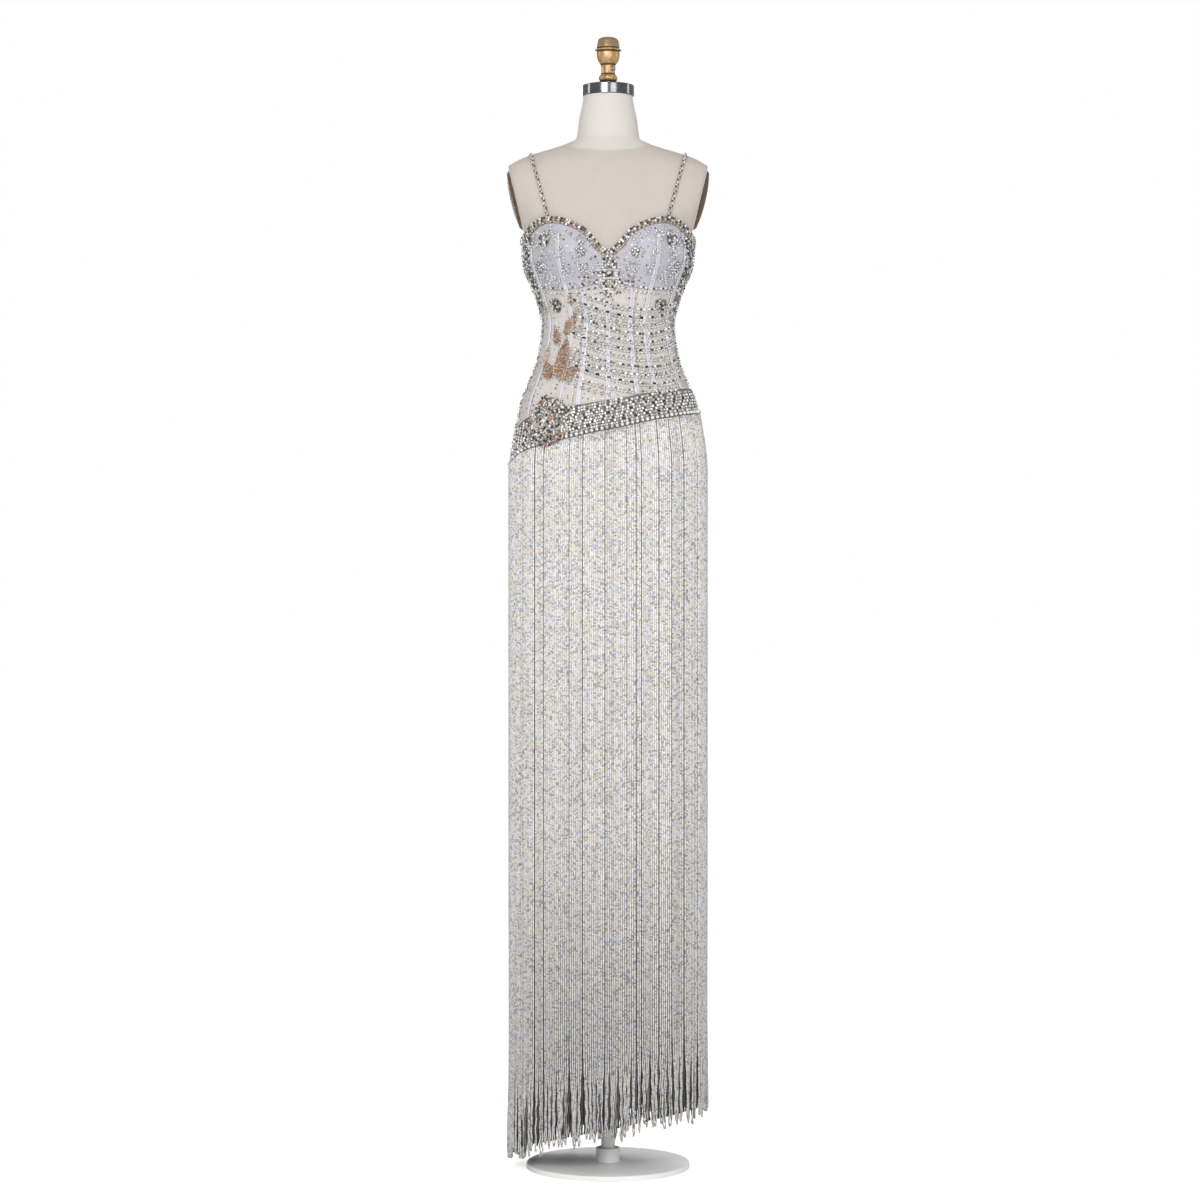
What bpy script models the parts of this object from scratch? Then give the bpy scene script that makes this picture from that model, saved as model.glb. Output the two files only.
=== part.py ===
"""Evening gown with a corset bodice and a long beaded fringe, on a limbless dress form.

Metres, +Z up. The form faces -Y and stands on the floor at z = 0, with its pole on the Z axis.
Right and left in names are the wearer's, so right is at -X. Angles run round the body from the
centre front, through +X at 90 degrees, to the centre back at 180.
"""

import collections
import math
import random

import bmesh
import bpy
from mathutils import Matrix, Vector

# Driving dimensions of the form
UNDERARM_Z = 1.712
WAIST_Z = 1.545
HIP_Z = 1.285
FORM_BOTTOM_Z = 1.110
NECK_TOP_Z = 1.966
ARMHOLE_TOP = (0.184, 1.840)
ARMHOLE_FOOT = (0.1535, UNDERARM_Z)
BUST_OUT = 0.030
BUST_X = 0.078
BUST_Z = 1.668
BUST_HALF_WIDTH = 0.052
BUST_ABOVE = 0.062
BUST_BELOW = 0.046
FORM_COLUMNS = 26
ARMPLATE_HALF_HEIGHT = 0.056
ARMPLATE_HALF_DEPTH = 0.046
ARMPLATE_DOME = 0.010
ARMPLATE_Z = 1.776
CAP_RADIUS = 0.048
CAP_TOP_Z = 1.986
STEM_RADIUS = 0.011
STEM_TOP_Z = 1.9925
SCREW_RADIUS = 0.0042
SCREW_LENGTH = 0.005
SCREW_Z = 2.016

# Driving dimensions of the gown
NET = 0.0012
GAP = 0.0003
LAP = 0.0008
EASE = 0.0020
COLUMN = math.tau / 50
CENTRE_SIDE = 3 * COLUMN
CUP_SIDE = 10 * COLUMN
BACK_SIDE = 18 * COLUMN
TRIM_WIDTH = 0.012
STRAP_WIDTH = 0.005
STRAP_STEPS = 24
CHANNEL_WIDTH = 0.008
PLACKET_WIDTH = 0.020
BAND_COLUMNS, BAND_ROWS = 42, 3
HIP_SEAM = 0.0020
SLIP_HEM_Z = 0.205
SLIP_COLUMNS = 18
SLIP_FOLDS = 10
SLIP_FOLD_DEPTH = 0.004
FRINGE_LENGTH = 1.275
STRANDS_A_HALF = 60
STRAND_SHARE = 0.6
STRAND_THICK = 0.0024
FRINGE_FLARE = 0.003
FRINGE_STRIP_HEIGHT = 0.006

# Driving dimensions of the stand
BASE_RADIUS = 0.150
BASE_THICK = 0.010
HUB_RADIUS = 0.022
HUB_TOP_Z = 0.036
POLE_RADIUS = 0.0125

Section = collections.namedtuple("Section", "z half_width front back squareness")
BODY = [
    Section(1.110, 0.1580, 0.098, 0.108, 2.2),
    Section(1.200, 0.1680, 0.104, 0.124, 2.2),
    Section(1.285, 0.1740, 0.108, 0.132, 2.2),
    Section(1.330, 0.1695, 0.106, 0.129, 2.2),
    Section(1.366, 0.1635, 0.104, 0.122, 2.2),
    Section(1.403, 0.1560, 0.101, 0.113, 2.2),
    Section(1.440, 0.1410, 0.096, 0.103, 2.2),
    Section(1.477, 0.1270, 0.090, 0.094, 2.2),
    Section(1.545, 0.1165, 0.083, 0.085, 2.15),
    Section(1.588, 0.1260, 0.090, 0.090, 2.2),
    Section(1.625, 0.1400, 0.097, 0.097, 2.25),
    Section(1.662, 0.1525, 0.102, 0.104, 2.3),
    Section(1.699, 0.1545, 0.105, 0.108, 2.3),
    Section(1.730, 0.1660, 0.106, 0.109, 2.35),
    Section(1.770, 0.1880, 0.101, 0.107, 2.4),
    Section(1.805, 0.1950, 0.093, 0.101, 2.4),
    Section(1.832, 0.1880, 0.084, 0.094, 2.3),
    Section(1.846, 0.1690, 0.078, 0.089, 2.2),
    Section(1.855, 0.1490, 0.073, 0.085, 2.1),
    Section(1.866, 0.1130, 0.067, 0.079, 2.05),
    Section(1.877, 0.0790, 0.061, 0.072, 2.0),
    Section(1.890, 0.0590, 0.055, 0.064, 2.0),
    Section(1.925, 0.0540, 0.051, 0.056, 2.0),
    Section(1.966, 0.0465, 0.0465, 0.0465, 2.0),
]

# The top edge of the bodice, by the angle from the centre front
NeckPoint = collections.namedtuple("NeckPoint", "angle z")
NECKLINE = [
    NeckPoint(0, 1.673),
    NeckPoint(6, 1.687),
    NeckPoint(12, 1.7075),
    NeckPoint(19, 1.7205),
    NeckPoint(30, 1.731),
    NeckPoint(38, 1.733),
    NeckPoint(45, 1.730),
    NeckPoint(55, 1.7225),
    NeckPoint(68, 1.711),
    NeckPoint(90, 1.700),
    NeckPoint(120, 1.692),
    NeckPoint(150, 1.676),
    NeckPoint(180, 1.662),
]

# The slanting hip band, low over the wearer's right hip
BandPoint = collections.namedtuple("BandPoint", "angle low high")
BAND = [
    BandPoint(-90, 1.287, 1.344),
    BandPoint(-60, 1.309, 1.371),
    BandPoint(-35, 1.325, 1.385),
    BandPoint(-20, 1.334, 1.391),
    BandPoint(0, 1.348, 1.401),
    BandPoint(30, 1.367, 1.416),
    BandPoint(60, 1.377, 1.423),
    BandPoint(90, 1.381, 1.426),
    BandPoint(135, 1.366, 1.413),
    BandPoint(180, 1.336, 1.388),
    BandPoint(225, 1.305, 1.360),
    BandPoint(270, 1.287, 1.344),
]

# The ribbon channels over the bones, by columns of the net from the centre front
Channel = collections.namedtuple("Channel", "name columns high")
CHANNELS = [
    Channel("centre", 0, 1.606),
    Channel("left_1", 2.5, 1.604),
    Channel("right_1", -2.5, 1.604),
    Channel("left_2", 4.5, 1.700),
    Channel("right_2", -4.5, 1.700),
    Channel("left_3", 8.5, 1.680),
    Channel("right_3", -8.5, 1.680),
    Channel("left_4", 14.5, 1.672),
    Channel("right_4", -14.5, 1.672),
    Channel("left_5", 20.5, 1.654),
    Channel("right_5", -20.5, 1.654),
]

# Stone rosettes on the bodice, and the large one on the hip band
Rosette = collections.namedtuple("Rosette", "name degrees z width height petals dome")
ROSETTES = [
    Rosette("rosette_cup_left", 44, 1.694, 0.026, 0.028, 6, 0.002),
    Rosette("rosette_cup_right", -44, 1.694, 0.026, 0.028, 6, 0.002),
    Rosette("rosette_waist_left", 47, 1.578, 0.022, 0.024, 6, 0.002),
    Rosette("rosette_waist_right", -47, 1.578, 0.022, 0.024, 6, 0.002),
]
BROOCH = Rosette("hip_brooch", -38, 1.362, 0.072, 0.088, 10, 0.003)

# The finial's outline from its crown down, measured up from its foot
Turned = collections.namedtuple("Turned", "radius height")
FINIAL = [
    Turned(0.0140, 0.0807),
    Turned(0.0195, 0.0762),
    Turned(0.0213, 0.0692),
    Turned(0.0218, 0.0627),
    Turned(0.0203, 0.0607),
    Turned(0.0203, 0.0587),
    Turned(0.0226, 0.0567),
    Turned(0.0220, 0.0492),
    Turned(0.0195, 0.0402),
    Turned(0.0150, 0.0327),
    Turned(0.0130, 0.0292),
    Turned(0.0130, 0.0172),
    Turned(0.0140, 0.0132),
    Turned(0.0170, 0.0092),
    Turned(0.0170, 0.0042),
    Turned(0.0140, 0.0),
]
FINIAL_WAIST = 0.0130

# How far each layer stands off the form, from its inner to its outer face
Layer = collections.namedtuple("Layer", "inner outer")
STONE = 0.0014
NET_LAYER = Layer(EASE, EASE + NET)
TOP_LAYER = Layer(NET_LAYER.outer + LAP, NET_LAYER.outer + LAP + 0.0010)
TRIM_LAYER = Layer(NET_LAYER.outer + LAP, NET_LAYER.outer + LAP + 0.0020)
BAND_LAYER = Layer(NET_LAYER.outer + LAP, NET_LAYER.outer + LAP + 0.0022)
ROSETTE_LAYER = Layer(NET_LAYER.outer + LAP, NET_LAYER.outer + LAP + 0.0012)
BROOCH_LAYER = Layer(BAND_LAYER.outer + STONE + LAP, BAND_LAYER.outer + STONE + LAP + 0.0018)
STRIP_LAYER = Layer(0.0052, 0.0052 + STRAND_THICK)
STRAP_LAYER = Layer(0.0010, 0.0032)

Finish = collections.namedtuple("Finish", "colour roughness metallic")
FINISHES = {
    "linen": Finish((0.80, 0.75, 0.68), 0.85, 0.0),
    "armplate": Finish((0.25, 0.15, 0.08), 0.55, 0.0),
    "steel": Finish((0.60, 0.60, 0.60), 0.30, 1.0),
    "gilt_wood": Finish((0.55, 0.36, 0.15), 0.40, 0.6),
    "stand_paint": Finish((0.86, 0.86, 0.85), 0.45, 0.0),
    "sheer_net": Finish((0.80, 0.77, 0.76), 0.60, 0.0),
    "cup_net": Finish((0.72, 0.72, 0.79), 0.55, 0.0),
    "boning_ribbon": Finish((0.78, 0.78, 0.86), 0.35, 0.0),
    "slip_satin": Finish((0.66, 0.65, 0.65), 0.45, 0.0),
    "rhinestone": Finish((0.62, 0.58, 0.53), 0.20, 0.5),
    "bead_fringe": Finish((0.70, 0.69, 0.66), 0.25, 0.3),
}


def clear_scene():
    """Removes what the scene holds, and gives a collection for the parts."""
    for obj in list(bpy.data.objects):
        bpy.data.objects.remove(obj)
    parts = bpy.data.collections.new("fringe_gown_on_dress_form")
    bpy.context.scene.collection.children.link(parts)
    return parts


def make_materials():
    """One Principled material for each finish."""
    made = {}
    for name, finish in FINISHES.items():
        material = bpy.data.materials.new(name)
        material.use_nodes = True
        shader = material.node_tree.nodes["Principled BSDF"]
        shader.inputs["Base Color"].default_value = (*finish.colour, 1.0)
        shader.inputs["Roughness"].default_value = finish.roughness
        shader.inputs["Metallic"].default_value = finish.metallic
        made[name] = material
    return made


PARTS = clear_scene()
MATERIALS = make_materials()


def finish_object(name, mesh, finish, sharp_degrees=40):
    """Makes an object of the bmesh, with its faces pointing out, and shades it smooth."""
    bmesh.ops.recalc_face_normals(mesh, faces=mesh.faces)
    data = bpy.data.meshes.new(name)
    mesh.to_mesh(data)
    mesh.free()
    data.shade_smooth()
    data.set_sharp_from_angle(angle=math.radians(sharp_degrees))
    data.materials.append(MATERIALS[finish])
    obj = bpy.data.objects.new(name, data)
    PARTS.objects.link(obj)
    return obj


def column_slope(rows, i, column):
    """Slope of one column at row i, limited so that the curve between rows never overshoots."""
    if i in (0, len(rows) - 1):
        return 0.0
    before, here, after = rows[i - 1 : i + 2]
    slope_in = (here[column] - before[column]) / (here[0] - before[0])
    slope_out = (after[column] - here[column]) / (after[0] - here[0])
    if slope_in * slope_out <= 0:
        return 0.0
    return 2 * slope_in * slope_out / (slope_in + slope_out)


def read(rows, at):
    """A table's row at a place between its own, on a smooth curve through them."""
    at = min(max(at, rows[0][0]), rows[-1][0])
    i = max(k for k in range(len(rows) - 1) if rows[k][0] <= at)
    span = rows[i + 1][0] - rows[i][0]
    t = (at - rows[i][0]) / span
    values = []
    for column in range(1, len(rows[0])):
        start, end = rows[i][column], rows[i + 1][column]
        rise_in = column_slope(rows, i, column) * span
        rise_out = column_slope(rows, i + 1, column) * span
        values.append(
            (2 * t**3 - 3 * t**2 + 1) * start
            + (t**3 - 2 * t**2 + t) * rise_in
            + (3 * t**2 - 2 * t**3) * end
            + (t**3 - t**2) * rise_out
        )
    return type(rows[0])(at, *values)


def signed_power(value, power):
    return math.copysign(abs(value) ** power, value)


def bust(x, z):
    """How far the bust stands out of the chest at x and z."""
    height = BUST_ABOVE if z > BUST_Z else BUST_BELOW
    across = (abs(x) - BUST_X) / BUST_HALF_WIDTH
    up = (z - BUST_Z) / height
    return BUST_OUT * math.exp(-(across**2) - up**2)


def armhole_x(z):
    """The flat of the armhole, which leans in towards the underarm."""
    (top_x, top_z), (foot_x, foot_z) = ARMHOLE_TOP, ARMHOLE_FOOT
    return foot_x + (top_x - foot_x) * (z - foot_z) / (top_z - foot_z)


def surface(angle, z):
    """A point on the form's skin."""
    section = read(BODY, z)
    bend = 2 / section.squareness
    x = section.half_width * signed_power(math.sin(angle), bend)
    facing = math.cos(angle)
    depth = section.front if facing > 0 else section.back
    y = -depth * signed_power(facing, bend)
    if z >= UNDERARM_Z:
        x = math.copysign(min(abs(x), armhole_x(z)), x)
    if facing > 0:
        y -= bust(x, z) * math.sqrt(facing)
    return Vector((x, y, z))


def outward(angle, z):
    """The direction square to the form's skin."""
    step = 0.002
    around = surface(angle + step, z) - surface(angle - step, z)
    upward = surface(angle, z + step) - surface(angle, z - step)
    return around.cross(upward).normalized()


def on_body(angle, z, out):
    return surface(angle, z) + outward(angle, z) * out


def on_skirt(angle, z, out):
    """As on_body above the hip. Below it, cloth hangs plumb from the widest line."""
    if z >= HIP_Z:
        return on_body(angle, z, out)
    point = on_body(angle, HIP_Z, out)
    return Vector((point.x, point.y, z))


def neckline(angle):
    return read(NECKLINE, abs(math.degrees(angle))).z


def band_at(angle):
    return read(BAND, (math.degrees(angle) + 90) % 360 - 90)


def band_middle(angle):
    band = band_at(angle)
    return (band.low + band.high) / 2


def hip_edge(angle):
    """The bodice's lower edge, under the middle of the hip band."""
    return band_middle(angle) + HIP_SEAM / 2


def cup_seam(angle):
    """The seam under a cup, lowest under its middle."""
    share = min(abs(angle) / CUP_SIDE, 1)
    return 1.616 - 0.013 * math.sin(math.pi * share)


def above_cup_seam(angle):
    return cup_seam(angle) + GAP / 2


def below_cup_seam(angle):
    return cup_seam(angle) - GAP / 2


def both_sides(first, last):
    """The angles of a panel on the wearer's left, and of its twin on the right."""
    return (("left", first, last), ("right", -last, -first))


Panel = collections.namedtuple("Panel", "name finish first last low high rows")


def bodice_panels():
    """The bodice's panels, each from its lower edge low(angle) to its upper edge high(angle)."""
    panels = [
        Panel(
            "bodice_front_centre", "sheer_net", -CENTRE_SIDE, CENTRE_SIDE, hip_edge, below_cup_seam, 7
        )
    ]
    for side, first, last in both_sides(CENTRE_SIDE, CUP_SIDE):
        panels.append(
            Panel(f"bodice_front_{side}", "sheer_net", first, last, hip_edge, below_cup_seam, 7)
        )
    for side, first, last in both_sides(0, CUP_SIDE):
        panels.append(Panel(f"cup_{side}", "cup_net", first, last, above_cup_seam, neckline, 6))
    for side, first, last in both_sides(CUP_SIDE, BACK_SIDE):
        panels.append(Panel(f"bodice_side_{side}", "sheer_net", first, last, hip_edge, neckline, 9))
    for side, first, last in both_sides(BACK_SIDE, math.pi):
        panels.append(Panel(f"bodice_back_{side}", "sheer_net", first, last, hip_edge, neckline, 9))
    return panels


PANELS = bodice_panels()

# Half a seam's gap, as a turn about the body's axis
WAIST_SEAM = GAP / 2 / read(BODY, WAIST_Z).half_width
HIP_SIDE_SEAM = GAP / 2 / read(BODY, HIP_Z).half_width


def blend(start, end, t):
    return start + (end - start) * t


def cloth_wall(name, finish, place, columns, rows, layer, raised=None):
    """A closed wall of cloth.

    place(u, v, out) gives a point u of the way along and v of the way up, moved out by out.
    raised(i, j) lifts single outer points, over a plain inside.
    """
    mesh = bmesh.new()
    outer, inner = [], []
    for i in range(columns + 1):
        u = i / columns
        outer.append([])
        inner.append([])
        for j in range(rows + 1):
            v = j / rows
            lift = raised(i, j) if raised else 0.0
            outer[i].append(mesh.verts.new(place(u, v, layer.outer + lift)))
            inner[i].append(mesh.verts.new(place(u, v, layer.inner)))
    for i in range(columns):
        for j in range(rows):
            for side in (outer, inner):
                mesh.faces.new((side[i][j], side[i + 1][j], side[i + 1][j + 1], side[i][j + 1]))
    for i in range(columns):
        for j in (0, rows):
            mesh.faces.new((outer[i][j], outer[i + 1][j], inner[i + 1][j], inner[i][j]))
    for j in range(rows):
        for i in (0, columns):
            mesh.faces.new((outer[i][j], outer[i][j + 1], inner[i][j + 1], inner[i][j]))
    return finish_object(name, mesh, finish)


def panel_point(panel, u, v, out):
    """A point u of the way from seam to seam and v of the way up a panel."""
    angle = blend(panel.first + WAIST_SEAM, panel.last - WAIST_SEAM, u)
    return on_body(angle, blend(panel.low(angle), panel.high(angle), v), out)


def columns_of(panel):
    return round((panel.last - panel.first) / COLUMN)


def facet_point(panel, u, v, out):
    """As panel_point, but on the flat facets between the panel's own rows and columns."""
    across, up = u * columns_of(panel), v * panel.rows
    i = min(max(math.floor(across), 0), columns_of(panel) - 1)
    j = min(max(math.floor(up), 0), panel.rows - 1)

    def on_column(k):
        foot = panel_point(panel, k / columns_of(panel), j / panel.rows, out)
        head = panel_point(panel, k / columns_of(panel), (j + 1) / panel.rows, out)
        return blend(foot, head, up - j)

    return blend(on_column(i), on_column(i + 1), across - i)


def net_point(angle, z, out):
    """A point of what is sewn on the net, parallel to the facets of the panel under it."""
    panel = panels_at(angle)[-1]
    for lower in panels_at(angle)[:-1]:
        if z < lower.high(angle):
            panel = lower
    u = (angle - panel.first) / (panel.last - panel.first)
    v = (z - panel.low(angle)) / (panel.high(angle) - panel.low(angle))
    return facet_point(panel, u, v, out)


def panels_at(angle):
    """The bodice panels at this angle, the lowest first."""
    return [panel for panel in PANELS if panel.first <= angle <= panel.last]


def levels(angle, low, high):
    """The heights low and high, and each row of the panels between them."""
    apart = 0.002
    found = [low]
    for panel in panels_at(angle):
        for j in range(panel.rows + 1):
            z = blend(panel.low(angle), panel.high(angle), j / panel.rows)
            if found[-1] + apart < z < high - apart:
                found.append(z)
    return [*found, high]


def lathe(name, finish, profile, steps):
    """A turned piece. The profile runs down its outer side, from the axis to the axis."""
    data = bpy.data.meshes.new(name)
    points = [(radius, 0, z) for radius, z in profile]
    data.from_pydata(points, [(i, i + 1) for i in range(len(points) - 1)], [])
    data.materials.append(MATERIALS[finish])
    obj = bpy.data.objects.new(name, data)
    PARTS.objects.link(obj)
    turn = obj.modifiers.new("turn", "SCREW")
    turn.axis = "Z"
    turn.steps = turn.render_steps = steps
    turn.use_merge_vertices = True
    turn.merge_threshold = 0.00005
    turn.use_smooth_shade = True
    return obj


def cylinder(name, finish, radius, low, high, segments):
    """An upright cylinder on the Z axis."""
    mesh = bmesh.new()
    bmesh.ops.create_cone(
        mesh, cap_ends=True, segments=segments, radius1=radius, radius2=radius, depth=high - low
    )
    bmesh.ops.translate(mesh, verts=mesh.verts, vec=(0, 0, (low + high) / 2))
    return finish_object(name, mesh, finish)


def form_heights():
    """The heights of the form's rings: each section, the underarm, and more where far apart."""
    most_apart = 0.034
    known = sorted([UNDERARM_Z, *(section.z for section in BODY)])
    heights = known[:1]
    for below, above in zip(known, known[1:]):
        steps = math.ceil((above - below) / most_apart)
        heights += [blend(below, above, (k + 1) / steps) for k in range(steps)]
    return heights


def make_form_body():
    """The padded torso and neck, closed top and bottom."""
    mesh = bmesh.new()
    rings = [
        [mesh.verts.new(surface(math.tau * k / FORM_COLUMNS, z)) for k in range(FORM_COLUMNS)]
        for z in form_heights()
    ]
    for below, above in zip(rings, rings[1:]):
        for k in range(FORM_COLUMNS):
            n = (k + 1) % FORM_COLUMNS
            mesh.faces.new((below[k], below[n], above[n], above[k]))
    mesh.faces.new(rings[0])
    mesh.faces.new(rings[-1])
    finish_object("form_body", mesh, "linen", 60)


def make_armplates():
    """A domed plate over each flat armhole."""
    size = (ARMPLATE_DOME, ARMPLATE_HALF_DEPTH, ARMPLATE_HALF_HEIGHT)
    middle_x = armhole_x(ARMPLATE_Z) + 2 * GAP
    lean = math.atan2(ARMHOLE_TOP[0] - ARMHOLE_FOOT[0], ARMHOLE_TOP[1] - ARMHOLE_FOOT[1])
    for side, name in ((-1, "form_armplate_right"), (1, "form_armplate_left")):
        mesh = bmesh.new()
        bmesh.ops.create_uvsphere(mesh, u_segments=20, v_segments=12, radius=1)
        halves = [*mesh.verts, *mesh.edges, *mesh.faces]
        cut = bmesh.ops.bisect_plane(
            mesh, geom=halves, plane_co=(0, 0, 0), plane_no=(side, 0, 0), clear_inner=True
        )
        rim = [e for e in cut["geom_cut"] if isinstance(e, bmesh.types.BMEdge)]
        bmesh.ops.contextual_create(mesh, geom=rim)
        bmesh.ops.scale(mesh, verts=mesh.verts, vec=size)
        place = Matrix.Translation((side * middle_x, 0.003, ARMPLATE_Z))
        turn = Matrix.Rotation(side * lean, 4, "Y")
        bmesh.ops.transform(mesh, verts=mesh.verts, matrix=place @ turn)
        finish_object(name, mesh, "armplate")


def make_neck_fittings():
    """The steel neck cap, the stem, the gilt finial and its screw."""
    edge = 0.002
    foot_z = NECK_TOP_Z + GAP
    lathe(
        "form_neck_cap",
        "steel",
        [
            (0, CAP_TOP_Z),
            (CAP_RADIUS - edge, CAP_TOP_Z - edge / 2),
            (CAP_RADIUS, CAP_TOP_Z - 2 * edge),
            (CAP_RADIUS, foot_z + edge / 2),
            (CAP_RADIUS - edge / 2, foot_z),
            (0, foot_z),
        ],
        32,
    )
    cylinder("form_stem", "steel", STEM_RADIUS, CAP_TOP_Z + GAP, STEM_TOP_Z, 20)
    foot_z = STEM_TOP_Z + GAP
    outline = [(radius, foot_z + height) for radius, height in FINIAL]
    crown_z = outline[0][1] + edge / 2
    lathe("form_finial", "gilt_wood", [(0, crown_z), *outline, (0, foot_z)], 18)
    make_finial_screw()


def make_finial_screw():
    """The short screw that clamps the finial's waist, at the front on the wearer's left."""
    mesh = bmesh.new()
    bmesh.ops.create_cone(
        mesh,
        cap_ends=True,
        segments=12,
        radius1=SCREW_RADIUS,
        radius2=SCREW_RADIUS,
        depth=SCREW_LENGTH,
    )
    towards = Vector((0.64, -0.77, 0)).normalized()
    turn = towards.to_track_quat("Z", "Y").to_matrix().to_4x4()
    middle = towards * (FINIAL_WAIST + GAP + SCREW_LENGTH / 2) + Vector((0, 0, SCREW_Z))
    bmesh.ops.transform(mesh, verts=mesh.verts, matrix=Matrix.Translation(middle) @ turn)
    finish_object("form_finial_screw", mesh, "steel")


def make_stand():
    """A plain round base, its hub and a straight pole up to the form."""
    edge = 0.002
    lathe(
        "form_base",
        "stand_paint",
        [
            (0, BASE_THICK),
            (BASE_RADIUS - edge, BASE_THICK),
            (BASE_RADIUS, BASE_THICK - edge),
            (BASE_RADIUS, 0),
            (0, 0),
        ],
        48,
    )
    cylinder("form_hub", "stand_paint", HUB_RADIUS, BASE_THICK + GAP, HUB_TOP_Z, 24)
    cylinder("form_pole", "stand_paint", POLE_RADIUS, HUB_TOP_Z + GAP, FORM_BOTTOM_Z - GAP, 20)


def make_bodice():
    """Cups and sheer net panels. The lower edges lie under the hip band."""
    for panel in PANELS:

        def place(u, v, out, panel=panel):
            return panel_point(panel, u, v, out)

        cloth_wall(panel.name, panel.finish, place, columns_of(panel), panel.rows, NET_LAYER)


def upright_strip(name, finish, angle, high, width, columns):
    """A narrow strip that runs up over the net at one angle, from the hip band's upper edge."""
    low = band_top(angle)
    heights = levels(angle, low, high)
    rows = len(heights) - 1
    around = (surface(angle + 0.01, low) - surface(angle - 0.01, low)).length / 0.02

    def place(u, v, out):
        at = angle + (u - 0.5) * width / around
        share = (heights[round(v * rows)] - low) / (high - low)
        z = blend(band_top(at), high, share)
        if at > math.pi:
            at -= math.tau
        return net_point(at, z, out)

    return cloth_wall(name, finish, place, columns, rows, TOP_LAYER)


def band_top(angle):
    return band_at(angle).high + 2 * GAP


def make_boning_channels():
    """Ribbon channels over the bones, from the hip band up to the cups or into them."""
    for name, columns, high in CHANNELS:
        angle = columns * COLUMN
        upright_strip(f"channel_{name}", "boning_ribbon", angle, high, CHANNEL_WIDTH, 1)


def make_placket():
    """The lapped strip that hides the hooks and eyes down the centre back."""
    high = neckline(math.pi) - TRIM_WIDTH - 2 * GAP
    upright_strip("back_placket", "sheer_net", math.pi, high, PLACKET_WIDTH, 2)


def trim_drop(angle):
    """How far the trim reaches down, measured upright, where the neckline slopes."""
    step = 0.01
    level = (surface(angle + step, 1.70) - surface(angle - step, 1.70)).length
    slope = (neckline(angle + step) - neckline(angle - step)) / level
    return TRIM_WIDTH * math.sqrt(1 + slope**2)


def make_neck_trim():
    """The jewelled edge, with a row of stones along its middle."""
    pieces = (
        ("trim_front", -CUP_SIDE, CUP_SIDE),
        ("trim_back_left", CUP_SIDE, math.pi),
        ("trim_back_right", -math.pi, -CUP_SIDE),
    )
    for name, first, last in pieces:
        columns = 2 * round((last - first) / COLUMN)

        def place(u, v, out, first=first + WAIST_SEAM, last=last - WAIST_SEAM):
            angle = blend(first, last, u)
            high = neckline(angle) + GAP
            return net_point(angle, high - trim_drop(angle) * (1 - v), out)

        def raised(i, j):
            return STONE if j == 1 and i % 2 else STONE / 3

        cloth_wall(name, "rhinestone", place, columns, 2, TRIM_LAYER, raised)


def angle_at(x, z):
    """The angle, on the front, at which the form's skin is at x."""
    section = read(BODY, z)
    return math.asin(min(1.0, (abs(x) / section.half_width) ** (section.squareness / 2)))


def ridge_z(x):
    """The height of the shoulder's ridge at x."""
    low, high = 1.832, NECK_TOP_Z
    for _ in range(40):
        middle = (low + high) / 2
        if read(BODY, middle).half_width > x:
            low = middle
        else:
            high = middle
    return low


def strap_line(front, top_x, back, count):
    """(angle, z) at even steps from the front edge, over the shoulder, to the back edge."""
    top_z = ridge_z(top_x)
    fine = []
    for (end_x, end_z), behind in ((front, False), (back, True)):
        run = []
        for k in range(121):
            share = 1 - (1 - k / 120) ** 2
            z = blend(end_z, top_z, share)
            angle = angle_at(blend(end_x, top_x, share), z)
            run.append((math.pi - angle if behind else angle, z))
        fine += run[::-1] if behind else run
    lengths = [0.0]
    for before, after in zip(fine, fine[1:]):
        lengths.append(lengths[-1] + (surface(*after) - surface(*before)).length)
    line, k = [], 0
    for i in range(count + 1):
        wanted = lengths[-1] * i / count
        while k < len(fine) - 2 and lengths[k + 1] < wanted:
            k += 1
        span = max(lengths[k + 1] - lengths[k], 1e-9)
        t = (wanted - lengths[k]) / span
        line.append(tuple(blend(a, b, t) for a, b in zip(fine[k], fine[k + 1])))
    return line


def make_straps():
    """A thin jewelled strap from each cup's peak, over the shoulder, to the back edge."""
    count = STRAP_STEPS
    front_x, top_x, back_x = 0.108, 0.142, 0.086
    start = (front_x, neckline(angle_at(front_x, 1.73)) + 3 * GAP)
    end = (back_x, neckline(math.pi - angle_at(back_x, 1.68)) + 7 * GAP)
    line = strap_line(start, top_x, end, count)
    points = [surface(*place) for place in line]
    normals = [outward(*place) for place in line]
    for side, name in ((1, "strap_left"), (-1, "strap_right")):

        def place(u, v, out, side=side):
            i = round(u * count)
            along = points[min(i + 1, count)] - points[max(i - 1, 0)]
            across = along.cross(normals[i]).normalized()
            at = points[i] + normals[i] * out + across * STRAP_WIDTH * (v - 0.5)
            return Vector((side * at.x, at.y, at.z))

        def raised(i, j):
            return STONE / 2 if i % 2 and j == 1 else 0.0

        cloth_wall(name, "rhinestone", place, count, 2, STRAP_LAYER, raised)


def half_way_round(first, u):
    """The angle u of the way along a front or back half that starts at this side seam."""
    return blend(first + HIP_SIDE_SEAM, first + math.pi - HIP_SIDE_SEAM, u)


def make_hip_band():
    """The jewelled band, in a front and a back length, with rows of raised stones."""
    columns, rows = BAND_COLUMNS, BAND_ROWS
    for name, first in (("hip_band_front", -math.pi / 2), ("hip_band_back", math.pi / 2)):

        def place(u, v, out, first=first):
            angle = half_way_round(first, u)
            band = band_at(angle)
            return on_body(angle, blend(band.low, band.high, v), out)

        def raised(i, j):
            inside = 0 < i < columns and 0 < j < rows
            return STONE if inside and (i + j) % 2 == 0 else 0.0

        cloth_wall(name, "rhinestone", place, columns, rows, BAND_LAYER, raised)


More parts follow.
